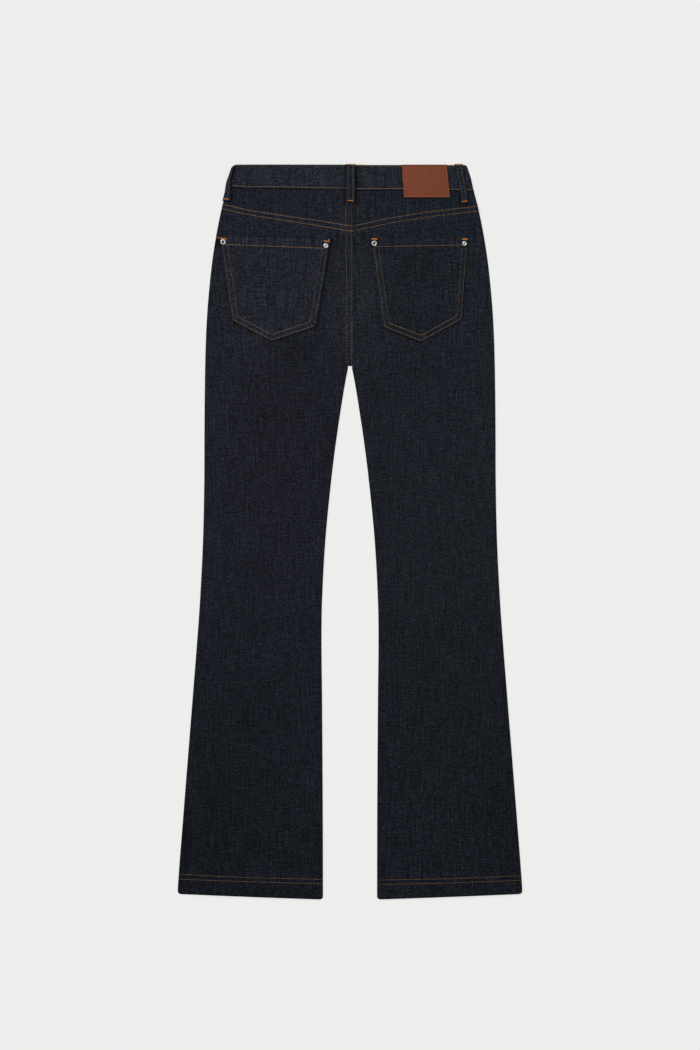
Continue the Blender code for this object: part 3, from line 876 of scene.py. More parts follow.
def painted_seat_seam_light(x, drop):
    """Painted highlight where the seam stands up and on its folded edge, painted shade
    along its rows and painted shadow beside its fold.
    """
    shade = painted_line_shade(x - SEAT_ROWS[0], 0.16) * painted_line_shade(x - SEAT_ROWS[1], 0.16)
    shade = shade * (1 + 0.22 * ease((x + 4.2) / 1.5) * ease((2.2 - x) / 1.5))
    shade = shade * painted_line_shade(x - CENTRE_SEAM - 0.7, 0.26, 1.2)
    shade = shade * (1 + 0.16 * ease((x - 3.4) / 0.8) * ease((CENTRE_SEAM - x) / 0.8))
    return np.where(drop < CROTCH_DROP, shade, 1.0)


print("the seat seam is felled", FELL_BACK + CENTRE_SEAM, "mm wide")

# %% [markdown]
# ### How a leg's grid is laid
# Columns run down the leg and share its width out between inseam and side seam. Rows
# run across: from the yoke to the crotch, on to the hem, round its roll and back up
# inside as the turned-up flap. A point's width depends on its drop, and its drop on
# how far out it lies, so both are worked out in turn a few times until they agree.

# %% Grid of a leg
LEG_WIDTH, SEAT_LENGTH, LEG_LENGTH = 212, 200, 797      # close to every panel's
STRIP_PITCH, HEM_PITCH = 1.2, 1.5            # mm from line to line
HEM_ROLL = 1.0
ROLL_ROWS = 8
FLAP_ROWS = 10
HEM_CORNER = 4.4             # radius of the hem's corners, in plan
CORNER_ROWS = 6              # the last rows, where they are rounded
FITTING_ROUNDS = 4


def corner_cut(away, radius):
    """How far a rounded corner is set in, at a distance from the end edge."""
    return radius - np.sqrt(radius ** 2 - (radius - np.clip(away, 0, radius)) ** 2)


class LegGrid:
    """The rows and columns of a leg. start is how far out its centre seam lies, and
    top_line gives the drop of its top edge."""

    def __init__(self, start, top_line, pitch, row_pitch):
        self.start, self.top_line, self.strips = start, top_line, 0
        if start < GAP_EDGE:
            self.strip = Lines(GAP_EDGE - start, STRIP_PITCH, FOLD_STEPS, (0.0,))
            self.strips = self.strip.steps
        self.main = Lines(LEG_WIDTH, pitch)
        self.upper = Lines(SEAT_LENGTH, row_pitch, (0.0,), EDGE_STEPS)
        hem_lines = tuple(np.arange(0, HEM_HEIGHT + HEM_STEP + 4, HEM_PITCH))
        self.lower = Lines(LEG_LENGTH, row_pitch, (0.0,), hem_lines)
        self.straight = self.upper.steps + self.lower.steps
        self.columns = self.strips + self.main.steps
        self.rows = self.straight + ROLL_ROWS + FLAP_ROWS

    def out_of(self, column, inner, outer):
        """How far out a column lies, between the inseam and the side seam."""
        wide = inner + self.main.at(np.maximum(column - self.strips, 0), outer - inner)
        if not self.strips:
            return wide
        slim = self.start + self.strip.at(np.minimum(column, self.strips),
                                          GAP_EDGE - self.start)
        return np.where(column < self.strips, slim, wide)

    def down_of(self, row, top, low):
        """How far down a row lies, between the top edge and the start of the roll."""
        seat = top + self.upper.at(np.minimum(row, self.upper.steps), CROTCH_DROP - top)
        leg = CROTCH_DROP + self.lower.at(
            np.clip(row - self.upper.steps, 0, self.lower.steps), low - CROTCH_DROP)
        return np.where(row <= self.upper.steps, seat, leg)

    def fit(self, column, row):
        """The points in plan: the roll and flap that they lie on, and their edges."""
        seat = row <= self.upper.steps
        turn = np.clip((row - self.straight) / ROLL_ROWS, 0, 1) * math.pi
        flap = np.maximum(row - self.straight - ROLL_ROWS, 0) * HEM_HEIGHT / FLAP_ROWS
        drop = np.full(row.shape, CROTCH_DROP)
        for _ in range(FITTING_ROUNDS):
            inner = np.where(seat, GAP_EDGE, np.maximum(GAP_EDGE, half_gap(drop)))
            outer = half_width(np.minimum(drop, HEM_DROP))
            end = hem_drop(np.clip(self.out_of(column, inner, outer), 40, 260))
            cut = np.where(turn > math.pi / 2, HEM_CORNER,
                           corner_cut(end + HEM_FULL - drop, HEM_CORNER))
            cut = np.where(row > self.straight - CORNER_ROWS, cut, 0)
            out = self.out_of(column, inner + cut, outer - cut)
            top = self.top_line(out)
            down = self.down_of(row, top, end - HEM_ROLL)
            drop = down + (HEM_ROLL + HEM_FULL) * np.sin(turn) - flap
        side_away = outer - cut - out
        gap_away = np.where(seat, np.hypot(np.maximum(0, np.abs(out) - GAP_EDGE),
                                           CROTCH_DROP - drop), out - inner - cut)
        return seat, turn, flap, end, out, top, down, drop, side_away, gap_away


print("flat turn of the hem:", round(HEM_ROLL * math.pi, 2), "mm of cloth")

# %% [markdown]
# ### The form of a leg
# Once the points have their places in plan, their heights follow: the plain form, the
# relief, puckers at the seams and the twisted look of a hem, called roping. The back
# rolls down at its edges and the front rolls up, and neither passes the seam's height.

# %% A leg panel
ROW_PLACES = (50, 150, 250)                  # x where the next heights are given
HEM_ROWS = {"left": ((28.8, 27.8, 28.4), (22.4, 21.6, 21.3)),
            "right": ((27.9, 26.1, 26.5), (21.2, 19.8, 19.7))}


def leg_panel(side, sign, back, grid):
    left = side == "left"

    def place(column, row):
        seat, turn, flap, end, out, top, down, drop, side_away, gap_away = grid.fit(
            column, row)
        x = sign * out
        away = np.where(flap > 0, FAR, np.minimum(side_away, gap_away))
        depth = HEM_ROLL * (1 - np.cos(turn))
        seam = seam_height(x, drop)
        near_hem = ease((drop - end + HEM_HEIGHT) / 8)
        side_pucker = 0.3 * pucker(drop, side_away, 21, 14, 9) * (away > 0)
        rope = 0.22 * near_hem * ripple((x + 1.4 * (drop - end)) / 8, drop / 30, 23)
        wave = (side_pucker + rope) * ease(away / 3)
        if back:
            radius = SPACE / 2 + solid_wall(x, drop) - CLOSING
            z = back_height(x, drop) + back_relief(x, drop) + wave - depth
            z += seat_seam(x, drop, left, top) - roll(away, radius)
            z -= TUCK_DIP * (1 - ease((drop - top) / 3))
            z += 0.25 * pucker(x, drop - top - TUCK, 25) * ease((drop - top) / 4)
            z = np.maximum(z, seam + CLOSING)
        else:
            radius = solid_wall(x, drop) + SPACE / 2 - CLOSING - THREAD_ROOM
            z = front_height(x, drop) + THREAD_ROOM + front_relief(x, drop)
            z += np.abs(wave) + depth + roll(away, radius) + fly_fold(x, drop, left)
            z += TUCK_DIP * (1 - ease((drop - top) / 3))
            z = np.minimum(z, seam - CLOSING)
        across = sign * (out + unrolled(side_away, radius)
                         - np.where(seat, 0, unrolled(gap_away, radius)))
        along = down + HEM_ROLL * turn + flap
        tone = back_tone(x, drop)
        if back:
            # painted shadow beside what lies on the cloth, painted light at the seat seam,
            # painted shade along the hem rows and at the hem's rolled edge, then paler
            # just below the yoke seam
            tone = tone * painted_lee_shadow(x, drop) * painted_seat_seam_light(x, drop)
            for heights in HEM_ROWS[side]:
                above = np.interp(out, ROW_PLACES, heights)
                tone = tone * painted_line_shade(end - drop - above, 0.12)
            tone = tone * paler(-0.34, drop - end + 1.3, 1.6)
            tone = tone * paler(0.1, top + TUCK + 6 - drop, 3)
            tone = tone * paler(0.2, top + TUCK + 3 - drop, 2.5)
        return Place(x, drop, z, across, along, tone)

    def trim(column, row):
        return column < grid.strips and row > grid.upper.steps

    layer, up = ("back", 1) if back else ("front", -1)
    return cloth(f"{side}_{layer}_leg", grid.columns, grid.rows, place, up, trim)


print("rows of stitches at each hem:", len(HEM_ROWS["left"]))

# %% [markdown]
# ### Both layers of both legs
# The left back starts beyond the centre, because it folds over the right one, and the
# left front laps over the right front in the same way. The front has a coarser grid,
# because it lies on the surface and hardly more than its edges is seen.

# %% Back and front legs
BACK_PITCHES, FRONT_PITCHES = (2.8, 3.2), (5.0, 5.5)         # of columns and rows


def yoke_line(side):
    return lambda out: read(SEAMS, side + "_yoke", out) - TUCK


def front_top(out):
    return front_dip(out) + BAND_HEIGHT - TUCK


pieces = {}                  # the cloth that stands for each node
for side, sign, start, front_start in (("left", -1, -CENTRE_SEAM, -FLY_FOLD),
                                       ("right", 1, GAP_EDGE, 0.0)):
    pieces[side + "_back_panel"] = leg_panel(
        side, sign, True, LegGrid(start, yoke_line(side), *BACK_PITCHES))
    pieces[side + "_front_panel"] = leg_panel(
        side, sign, False, LegGrid(front_start, front_top, *FRONT_PITCHES))

# %% [markdown]
# ## Yokes
# The yoke shapes the small of the back. Its lower edge is folded under and felled onto
# the leg panel with two rows 7.5 mm apart, so a band as wide as the rows stands up.

# %% Yokes
YOKE_WIDTH, YOKE_LENGTH = 195, 50            # close to both
YOKE_PITCH, YOKE_ROW_PITCH = 1.9, 1.4
YOKE_RISE = 0.9
YOKE_FELL = 10.5             # height of the felled band along the yoke's lower edge
PAINTED_BAND_SHADOW = {"left": 0.34, "right": 0.62}   # how dark the painted shadow is just below the waistband


def yoke(side, sign, start):
    left = side == "left"
    columns = Lines(YOKE_WIDTH, YOKE_PITCH, FOLD_STEPS if left else (0.0,))
    rows = Lines(YOKE_LENGTH, YOKE_ROW_PITCH, (0.0,), FOLD_STEPS)

    def place(column, row):
        drop = np.full(row.shape, BAND_HEIGHT)
        for _ in range(FITTING_ROUNDS):
            outer = half_width(drop)
            out = start + columns.at(column, outer - start)
            top = read(SEAMS, side + "_band", out) - TUCK
            low = read(SEAMS, side + "_yoke", out)
            drop = top + rows.at(row, low - top)
        x, above, away = sign * out, low - drop, outer - out
        seam = seam_height(x, drop)
        fell = YOKE_RISE * ease((YOKE_FELL - above) / 2.5)
        if left:             # it ends where the thick seat seam begins
            fell = fell * (1 - 0.7 * ease((x + FELL_BACK) / 2.5))
        radius = SPACE / 2 + solid_wall(x, drop) - CLOSING
        z = back_height(x, drop) + back_relief(x, drop) + seat_seam(x, drop, left, top)
        z += fell
        z += 0.3 * pucker(x, above - 5, 31, 9, 8) * ease(above / 2) * ease(away / 3)
        z -= roll(above, FOLD_RADIUS) + roll(away, radius)
        z -= TUCK_DIP * (1 - ease((drop - top) / 3))
        z = np.maximum(z, seam + CLOSING)
        # painted light at the seat seam and painted shadow beside what lies on it; painted
        # highlight on the raised felled band and its folded lower edge; painted shadow
        # just below the waistband
        tone = back_tone(x, drop) * painted_seat_seam_light(x, drop) * painted_lee_shadow(x, drop)
        tone = tone * paler(0.1, YOKE_FELL + 1 - above, 3) * paler(0.2, 1.2 - above, 0.8)
        tone = tone * painted_line_shade(drop - top - TUCK - 1, PAINTED_BAND_SHADOW[side], 1.6)
        across = sign * (out + unrolled(away, radius))
        return Place(x, drop, z, across, drop, tone)

    return cloth(f"{side}_yoke", columns.steps, rows.steps, place)


for side, sign, start in (("left", -1, -CENTRE_SEAM), ("right", 1, GAP_EDGE)):
    pieces[side + "_back_yoke"] = yoke(side, sign, start)

# %% [markdown]
# ## Patch pockets
# A patch pocket is a five-sided piece with its edges pressed under, so it is two
# layers thick for 9 mm all round. Two rows hold the sides and the point, one row holds
# the top hem, and the mouth stays open, a little clear of the seat.

# %% Pockets
POCKET_WIDTH, POCKET_LENGTH = 150, 140       # close to both
POCKET_PITCH = 1.7
POCKET_RISE = 1.25           # face of a single layer above the seat
POCKET_TONE = {"left": 1.17, "right": 0.93}
POCKET_LEFT_HIGHLIGHT = {"left": 0.02, "right": 0.16}   # painted highlight: how much paler its left side is


def pocket(side):
    outline = POCKETS[side]
    half = Lines(POCKET_WIDTH / 2, POCKET_PITCH, far=(0.0,)).every(POCKET_WIDTH / 2)
    across = np.concatenate([half, POCKET_WIDTH - half[-2::-1]]) / POCKET_WIDTH
    down = Lines(POCKET_LENGTH, POCKET_PITCH).every(POCKET_LENGTH) / POCKET_LENGTH

    def place(column, row):
        u, v = across[column][:, None], down[row][:, None]
        tl, ll, pt, lr, tr = (np.array(corner) for corner in outline)
        low = np.where(u <= 0.5, lerp(ll, pt, 2 * u), lerp(pt, lr, 2 * u - 1))
        x, drop = lerp(lerp(tl, tr, u), low, v).T
        distances = edge_distances(outline, x, drop)
        away = np.maximum(np.minimum.reduce(distances[:4]), 0)
        top = np.maximum(distances[4], 0)
        z = back_height(x, drop) + back_relief(x, drop) + POCKET_RISE
        z += 0.3 * np.maximum(ease((10 - away) / 2.5), ease((14 - top) / 2.5))
        z += 0.35 * swell(x + 90, drop, 41) * ease(away / 25) * ease(top / 12)
        z += 0.25 * pucker(x + drop, away - 6, 43, 9, 5) * ease(away / 3)
        z += 0.3 * pucker(x, top - 12, 45, 9, 6) * ease(away / 3)
        z -= np.maximum(roll(away, POCKET_RISE + 0.3), roll(top, FOLD_RADIUS))
        # painted shade along its rows; painted highlight on the raised double edges, the
        # top hem, its left side and the fold of its mouth
        rows = painted_line_shade(away - 2.5, 0.16) * painted_line_shade(away - 9.7, 0.16)
        tone = back_tone(x, drop) * POCKET_TONE[side] * rows
        tone = tone * (1 + 0.1 * ease((11 - away) / 2) + 0.15 * ease((13.5 - top) / 2))
        tone = tone * paler(POCKET_LEFT_HIGHLIGHT[side], 8 - distances[0], 3)
        tone = tone * paler(0.14, 2.5 - top, 2)
        return Place(x, drop, z, x, drop, tone)

    return cloth(f"{side}_pocket", len(across) - 1, len(down) - 1, place)


for side in POCKETS:
    pieces[side + "_back_pocket"] = pocket(side)

# %% [markdown]
# ## Waistband
# The band is one strip folded along the waist edge, with the tops of the yokes sewn
# in between its two layers. The grid runs up the outer face, over the fold and down
# inside. The outer face is a little thicker where the seam allowances end in it.

# %% A waistband
BAND_LENGTH, BAND_RISE = 360, 35.9           # close to the back's; its outer face
INNER_HEIGHT, INNER_ROWS = 33, 13            # its inner face
BAND_PITCH, BAND_ROW_PITCH = 2.0, 1.5
BAND_ROLL = 1.05
BAND_RIDGE = 0.35
BAND_HUE = (1, 1, 0.92)      # a little less blue than the legs


def waistband(name, low_line, top_line, ends, radii, face, up, outer_ends):
    """ends: how x runs from one end to the other. radii: plan radii of the top
    corners. outer_ends: whether each end lies on a side seam."""
    columns = Lines(BAND_LENGTH, BAND_PITCH)
    outer = Lines(BAND_RISE, BAND_ROW_PITCH, FOLD_STEPS, (0.0,))

    def place(column, row):
        turn = np.clip((row - outer.steps) / ROLL_ROWS, 0, 1) * math.pi
        inner = np.maximum(row - outer.steps - ROLL_ROWS, 0) * INNER_HEIGHT / INNER_ROWS
        part = outer.at(np.minimum(row, outer.steps), BAND_RISE) / BAND_RISE
        drop = np.full(row.shape, 20.0)
        x = np.zeros(row.shape)
        for _ in range(FITTING_ROUNDS):
            below = drop - top_line(x)
            cuts = [np.where(turn > math.pi / 2, max(radius, 2.5),
                             corner_cut(below, radius)) for radius in radii]
            low_x, high_x = ends(drop)
            low_x, high_x = low_x + cuts[0], high_x - cuts[1]
            reach = columns.at(column, high_x - low_x)
            x = low_x + reach
            low, top = low_line(x), top_line(x)
            drop = lerp(low, top + BAND_ROLL, part) - BAND_ROLL * np.sin(turn) + inner
        sides = [end if outer_end else np.full(x.shape, FAR)
                 for end, outer_end in zip((reach, high_x - x), outer_ends)]
        away = np.where(inner > 0, FAR, np.minimum(*sides))
        end_away = np.where(inner > 0, FAR, np.minimum(reach, high_x - x))
        above = np.where(turn + inner > 0, FAR, low - drop)
        stand = BAND_RIDGE * ease((9 - above) / 4) + 0.25 * swell(x, drop + 700, 51)
        stand += 0.2 * pucker(x, above - 1.5, 53, 9, 7) * ease(above / 2)
        stand -= BAND_ROLL * (1 - np.cos(turn)) + roll(above, FOLD_RADIUS)
        stand -= roll(away, abs(BAND_SEAM + up * CLOSING - face))
        stand -= np.where(away > 50, roll(end_away, FOLD_RADIUS), 0)
        z = face + up * stand
        across = x + unrolled(sides[1], 2.0) - unrolled(sides[0], 2.0)
        down = np.where(turn > 0, top + BAND_ROLL * (1 - turn) - inner, drop)
        tone = back_tone(x, drop) * (1.45 if up > 0 else 1.05)
        if up > 0:
            # painted shadow beside the loops and the patch, a line of painted shade a
            # little above the lower edge, and painted highlight on the folded lower edge
            painted_shadows = np.where(turn > math.pi / 2, 1.0, painted_lee_shadow(x, drop))
            tone = tone * painted_shadows * painted_line_shade(above - 4.8, 0.14, 1.6)
            tone = tone * paler(0.45, 1.3 - above, 0.6)
        return Place(x, drop, z, across, down, tone)

    return cloth(name, columns.steps, outer.steps + ROLL_ROWS + INNER_ROWS, place, up,
                 hue=BAND_HUE)


print("the band is folded from", round(BAND_RISE + BAND_ROLL * math.pi + INNER_HEIGHT, 1),
      "mm of cloth")

# %% [markdown]
# ### Three bands
# The back band reaches from side seam to side seam. The two front bands curve down to
# the fly and meet there, where the button holds them.

# %% Waistbands
RIGHT_DROP, RIGHT_LOW = 0.58, 0.6            # how much lower its right half lies
BAND_FULL = 0.35             # how far its fold stands above the waist line


def back_band_low(x):
    left, right = read(SEAMS, "left_band", -x), read(SEAMS, "right_band", x)
    return np.where(x < 0, left, right + RIGHT_LOW * ease(x / 20))


def back_band_top(x):
    """The waist edge, a little lower on the right."""
    return RIGHT_DROP * ease(x / 40) - BAND_FULL


def whole_width(drop):
    return -half_width(drop), half_width(drop)


pieces["back_waistband"] = waistband(
    "back_band", back_band_low, back_band_top, whole_width, (4.5, 2.8), BAND_TOP, 1,
    (True, True))
pieces["left_front_waistband"] = waistband(
    "left_front_band", lambda x: front_dip(x) + BAND_HEIGHT, front_dip,
    lambda drop: (-half_width(drop), np.full(drop.shape, FLY_OVERLAP)),
    (5.0, 1.0), BAND_LOW, -1, (True, False))
pieces["right_front_waistband"] = waistband(
    "right_front_band", lambda x: front_dip(x) + BAND_HEIGHT, front_dip,
    lambda drop: (np.full(drop.shape, FLY_OVERLAP + 0.3), half_width(drop)),
    (1.0, 1.2), BAND_LOW, -1, (False, True))

# %% [markdown]
# ## Belt loops
# A belt loop is a strip folded in three and topstitched, then tacked down at both
# ends. The one at the left side seam lies half on the back and half round the edge.

# %% Belt loops
LOOP_LENGTH = 57.5
FRONT_LOOP_WIDTH = 14.0
FRONT_LOOP_FACE = 2.0        # the height that the front loops hang from
FRONT_LOOPS = {}
for name, x in (("left_front_loop", -92.0), ("right_front_loop", 92.0)):
    top = float(front_dip(x)) - LOOP_RISE
    FRONT_LOOPS[name] = Loop((x, top), (x, top + LOOP_LENGTH), FRONT_LOOP_WIDTH,
                             FRONT_LOOP_WIDTH)
LOOP_PITCH, LOOP_ROW_PITCH = 1.0, 1.6
LOOP_WALL = 1.4
LOOP_EDGE = 0.9
LOOP_BOW = 0.9               # how far a back loop stands off between its tacks


def belt_loop(name, loop, ground, bow, up=1):
    """A strip from loop.top to loop.low. ground gives the height it lies on."""
    columns = Lines(loop.width, LOOP_PITCH, FOLD_STEPS, FOLD_STEPS)
    rows = Lines(LOOP_LENGTH, LOOP_ROW_PITCH, FOLD_STEPS, FOLD_STEPS)

    def place(column, row):
        along = rows.at(row, LOOP_LENGTH)
        part = along / LOOP_LENGTH
        width = lerp(loop.width, loop.low_width, part)
        reach = columns.at(column, width)
        slant = part * (loop.low[0] - loop.top[0]) / LOOP_LENGTH
        middle = lerp(loop.top[0], loop.low[0], part)
        drop = lerp(loop.top[1], loop.low[1], part)
        aside = reach - width / 2
        away = np.minimum(reach, width - reach)
        end = np.minimum(along, LOOP_LENGTH - along)
        stand = LOOP_WALL + bow * np.sin(math.pi * part) + 0.12 * np.cos(aside / 2.3)
        stand += 0.12 * ripple(aside / 5, drop / 7, 61)
        stand -= roll(away, LOOP_EDGE) + roll(end, LOOP_EDGE)
        x = middle + aside
        z = ground(x, drop) + up * stand
        # edge is a painted highlight along the loop's right rim, rim one along its left
        # rim, and the loop is painted lighter towards its right side
        edge = np.exp(-((width - reach - 0.9) / 1.0) ** 2)
        rim = np.exp(-((reach - 1.6) / 0.9) ** 2)
        tone = back_tone(x, drop) * (0.95 + 0.3 * reach / width + 0.85 * edge
                                     + 0.2 * rim)
        return Place(x, drop - slant * aside, z, aside, along, tone)

    return cloth(name, columns.steps, rows.steps, place, up)


def loop_ground(loop):
    """The waistband, then down to the yoke at the loop's low end."""
    x, drop = loop.low
    low = float(back_height(np.array(x), np.array(drop))) + 0.3

    def ground(x, drop):
        settle = ease((drop - BAND_HEIGHT) / (loop.low[1] - BAND_HEIGHT))
        return lerp(BAND_TOP + BAND_RIDGE, low, settle)

    return ground


for name, loop in BACK_LOOPS.items():
    pieces[name] = belt_loop(name.replace("_loop", "_belt_loop"), loop,
                             loop_ground(loop), LOOP_BOW)
for name, loop in FRONT_LOOPS.items():
    pieces[name] = belt_loop(name.replace("_loop", "_belt_loop"), loop,
                             lambda x, drop: np.full(x.shape, FRONT_LOOP_FACE), 0, -1)

# %% [markdown]
# ### The loop at the side seam
# Its outer half is bent down round the edge of the jeans. So its columns run across
# the flat part, round a quarter of a circle and down the short skirt below it.

# %% Side loop
SIDE_LOOP_WIDTH = 12         # about how much of it lies flat and bends
SIDE_LOOP_PITCH = 0.7
SIDE_LOOP_SKIRT = 2.4
SIDE_LOOP_RADIUS = 2.6
SIDE_LOOP_CORNER = 6.0
SIDE_LOOP_RISE = 0.4         # how far it stands off the waistband


def side_loop():
    over = BAND_TOP + SIDE_LOOP_RISE + LOOP_WALL
    quarter = SIDE_LOOP_RADIUS * math.pi / 2
    columns = Lines(SIDE_LOOP_WIDTH + SIDE_LOOP_SKIRT, SIDE_LOOP_PITCH, FOLD_STEPS,
                    FOLD_STEPS)
    length = SIDE_LOOP_LOW - SIDE_LOOP_TOP
    rows = Lines(length, LOOP_ROW_PITCH, FOLD_STEPS, FOLD_STEPS)

    def place(column, row):
        along = rows.at(row, length)
        drop = SIDE_LOOP_TOP + along
        out = half_width(drop) + 1.7 - corner_cut(along + 0.4, SIDE_LOOP_CORNER)
        out = out + 1.0 * np.exp(-((drop - 29) / 9) ** 2)
        edge = read(SIDE_LOOP_EDGES, "x", drop)
        flat = np.maximum(0.5, edge + out - SIDE_LOOP_RADIUS)
        whole = flat + quarter + SIDE_LOOP_SKIRT
        reach = columns.at(column, whole)
        bend = np.clip((reach - flat) / SIDE_LOOP_RADIUS, 0, math.pi / 2)
        skirt = np.maximum(0, reach - flat - quarter)
        inset = np.maximum(0, flat - reach) + SIDE_LOOP_RADIUS * (1 - np.sin(bend))
        fall = SIDE_LOOP_RADIUS * (1 - np.cos(bend)) + skirt
        end = np.minimum(along, length - along)
        press = roll(reach, LOOP_EDGE) + roll(end, LOOP_EDGE) * (bend < 0.5)
        z = over - fall - press + 0.1 * ripple(reach / 5, drop / 7, 63)
        z += 0.7 * ease(along / 10) * ease((length - along) / 12)
        x = inset - out
        return Place(x, drop, z, reach, along, 1.4 * back_tone(x, drop))

    return cloth("left_side_belt_loop", columns.steps, rows.steps, place)


pieces["left_side_loop"] = side_loop()
print("cloth pieces:", len(pieces))

# %% [markdown]
# ## Leather patch
# Vegetable-tanned leather, 1.2 mm thick, cut with a clean edge and pressed with a
# plain border line. It darkens as it ages, apart from the cut edges, which stay paler
# and redder. Its face is left bare. The same grid builder makes it, with finer lines.

# %% Leather
def leather_material(name, colour, deep):
    material, shader = new_material(name, {
        "Roughness": 0.55, "Specular IOR Level": 0.12, "IOR": 1.5})
    tree = material.node_tree
    grain = add_node(tree, "UVMap", uv_map="grain")
    pebble = add_node(tree, "TexVoronoi", {"Vector": grain.outputs["UV"]},
                      {"Scale": 1 / 0.0011, "Randomness": 1.0},
                      feature="DISTANCE_TO_EDGE")
    cloud = grain_noise(tree, grain, 0.009, 0.007, 3, detail=3.0)
    speck = grain_noise(tree, grain, 0.0021, 0.0021, 8)
    level = weighted(tree, [(cloud, 0.4), (speck, 0.55)])
    tone = add_node(tree, "Attribute", attribute_name="tone")
    level = add_node(tree, "VectorMath", {0: level, 1: tone.outputs["Color"]},
                     operation="MULTIPLY").outputs[0]
    hue = add_node(tree, "Mix", {0: cloud}, {6: linear(colour), 7: linear(deep)},
                   data_type="RGBA")
    lit = add_node(tree, "VectorMath", {0: hue.outputs[2], 1: level},
                   operation="MULTIPLY")
    edge = add_node(tree, "MapRange", {"Value": pebble.outputs["Distance"]},
                    {"From Max": 0.12}).outputs["Result"]
    height = weighted(tree, [(edge, 0.6), (cloud, 1.0)])
    join(tree, shader, lit.outputs["Vector"], height, 0.35, 0.00012)
    return material


leather = leather_material("vegetable_tanned_leather", "#7D412B", "#713B29")
leather_edge = leather_material("leather_cut_edge", "#A4583A", "#94502F")
print("materials:", leather.name, leather_edge.name)

# %% [markdown]
# ### The patch
# The border line is pressed in a few millimetres from the edge. The patch bends down
# a little at its low end, where it leaves the waistband.

# %% Patch
PATCH_PITCH = 0.85
PATCH_WIDTH, PATCH_LENGTH = 68.5, 49.0
CUT_STEPS = (0.0, 0.12, 0.35, 0.8)           # mm in from a cut edge
PATCH_WALL = 1.25
PATCH_FACE = BAND_TOP + BAND_RIDGE + PATCH_WALL
BORDER_INSET, BORDER_WIDTH, BORDER_DEPTH = 3.6, 0.55, 0.16


def patch():
    columns = Lines(PATCH_WIDTH, PATCH_PITCH, CUT_STEPS, CUT_STEPS)
    rows = Lines(PATCH_LENGTH, PATCH_PITCH, CUT_STEPS, CUT_STEPS)

    def place(column, row):
        u = columns.at(column, PATCH_WIDTH) / PATCH_WIDTH
        v = rows.at(row, PATCH_LENGTH) / PATCH_LENGTH
        tl, ll, lr, tr = (np.array(corner) for corner in PATCH)
        x, drop = lerp(lerp(tl, tr, u[:, None]), lerp(ll, lr, u[:, None]),
                       v[:, None]).T
        sides = [u * PATCH_WIDTH, (1 - u) * PATCH_WIDTH, v * PATCH_LENGTH,
                 (1 - v) * PATCH_LENGTH]
        away = np.minimum.reduce(sides)
        z = PATCH_FACE - roll(away, 0.35) - 0.25 * ease((v - 0.7) / 0.3)
        z += 0.12 * ripple(x / 17, drop / 15, 71)
        line = np.exp(-((away - BORDER_INSET) / BORDER_WIDTH) ** 2)
        z -= BORDER_DEPTH * line
        bright = np.maximum(ease((1.5 - sides[1]) / 0.9), ease((1.5 - sides[3]) / 0.9))
        bright = np.maximum(bright, 0.35 * ease((1.2 - sides[0]) / 0.9))
        tone = 1.04 - 0.08 * u + 0.5 * bright - 0.1 * line
        # darker along its top edge: painted shade
        tone -= 0.12 * ease((3.5 - sides[2]) / 3)
        return Place(x, drop, z, x, drop, tone)

    return cloth("leather_patch", columns.steps, rows.steps, place, wall=PATCH_WALL,
                 materials=(leather, leather_edge), rim=1)


waist_patch = patch()

# %% [markdown]
# ## Rivets and button
# A jeans rivet is a stamped copper cap, nickel plated: a raised ring round a sunk
# centre where the nail's point is pressed flat. Plating darkens in the sunk centre,
# where nothing rubs it.

# %% Metal
def metal_material(name, colour, roughness):
    material, shader = new_material(name, {"Metallic": 1.0, "Roughness": roughness})
    tree = material.node_tree
    place = add_node(tree, "TexCoord")
    wear = add_node(tree, "TexNoise", {"Vector": place.outputs["Object"]},
                    {"Scale": 1 / 0.0016, "Detail": 3.0})
    shade = add_node(tree, "MapRange", {"Value": wear.outputs["Fac"]},
                     {"From Min": 0.3, "From Max": 0.7, "To Min": 0.82, "To Max": 1.05})
    base = add_node(tree, "VectorMath", {1: shade.outputs["Result"]},
                    {0: linear(colour)[:3]}, operation="MULTIPLY")
    join(tree, shader, base.outputs["Vector"], wear.outputs["Fac"], 0.15, 0.00005)
    return material


nickel = metal_material("nickel_plated_copper", "#DAD8D3", 0.46)
nickel_dark = metal_material("darkened_nickel", "#423F3B", 0.5)
button_metal = metal_material("brushed_nickel_button", "#B9B5AD", 0.36)
print("materials:", nickel.name, nickel_dark.name, button_metal.name)

# %% [markdown]
# ### Turned shapes
# Rivet and button are both turned shapes, so one function spins a profile of radii
# and heights round its axis.

# %% Profiles, turned
Rivet = namedtuple("Rivet", "x drop radius pit")
RIVETS = {
    "left_outer_rivet": Rivet(-190.2, 115.8, 4.1, 2.1),
    "left_inner_rivet": Rivet(-36.0, 121.5, 3.7, 1.1),
    "right_inner_rivet": Rivet(36.5, 118.0, 4.0, 2.0),
    "right_outer_rivet": Rivet(171.6, 118.3, 3.5, 1.1),
}
RIVET_HEIGHT = 1.3
NAIL = 0.4                   # radius of the nail's point
BUTTON_RADIUS = 8.5
TURN_STEPS = 48
TURNED_SHARP = 40            # degrees


def rivet_profile(rivet):
    """From the nail's point in the middle over the raised ring to the cloth."""
    ring = (rivet.radius - rivet.pit) / 2
    points = [(0.0, 0.8), (NAIL * 0.5, 0.76), (NAIL * 0.9, 0.6), (NAIL * 1.1, 0.4),
              (NAIL * 1.3, 0.3), (rivet.pit * 0.8, 0.3)]
    for i in range(9):
        angle = math.pi * (1 - i / 8)
        points.append((rivet.pit + ring + ring * math.cos(angle),
                       0.35 + (RIVET_HEIGHT - 0.35) * math.sin(angle)))
    return points + [(rivet.radius, 0.0), (0.0, 0.0)]


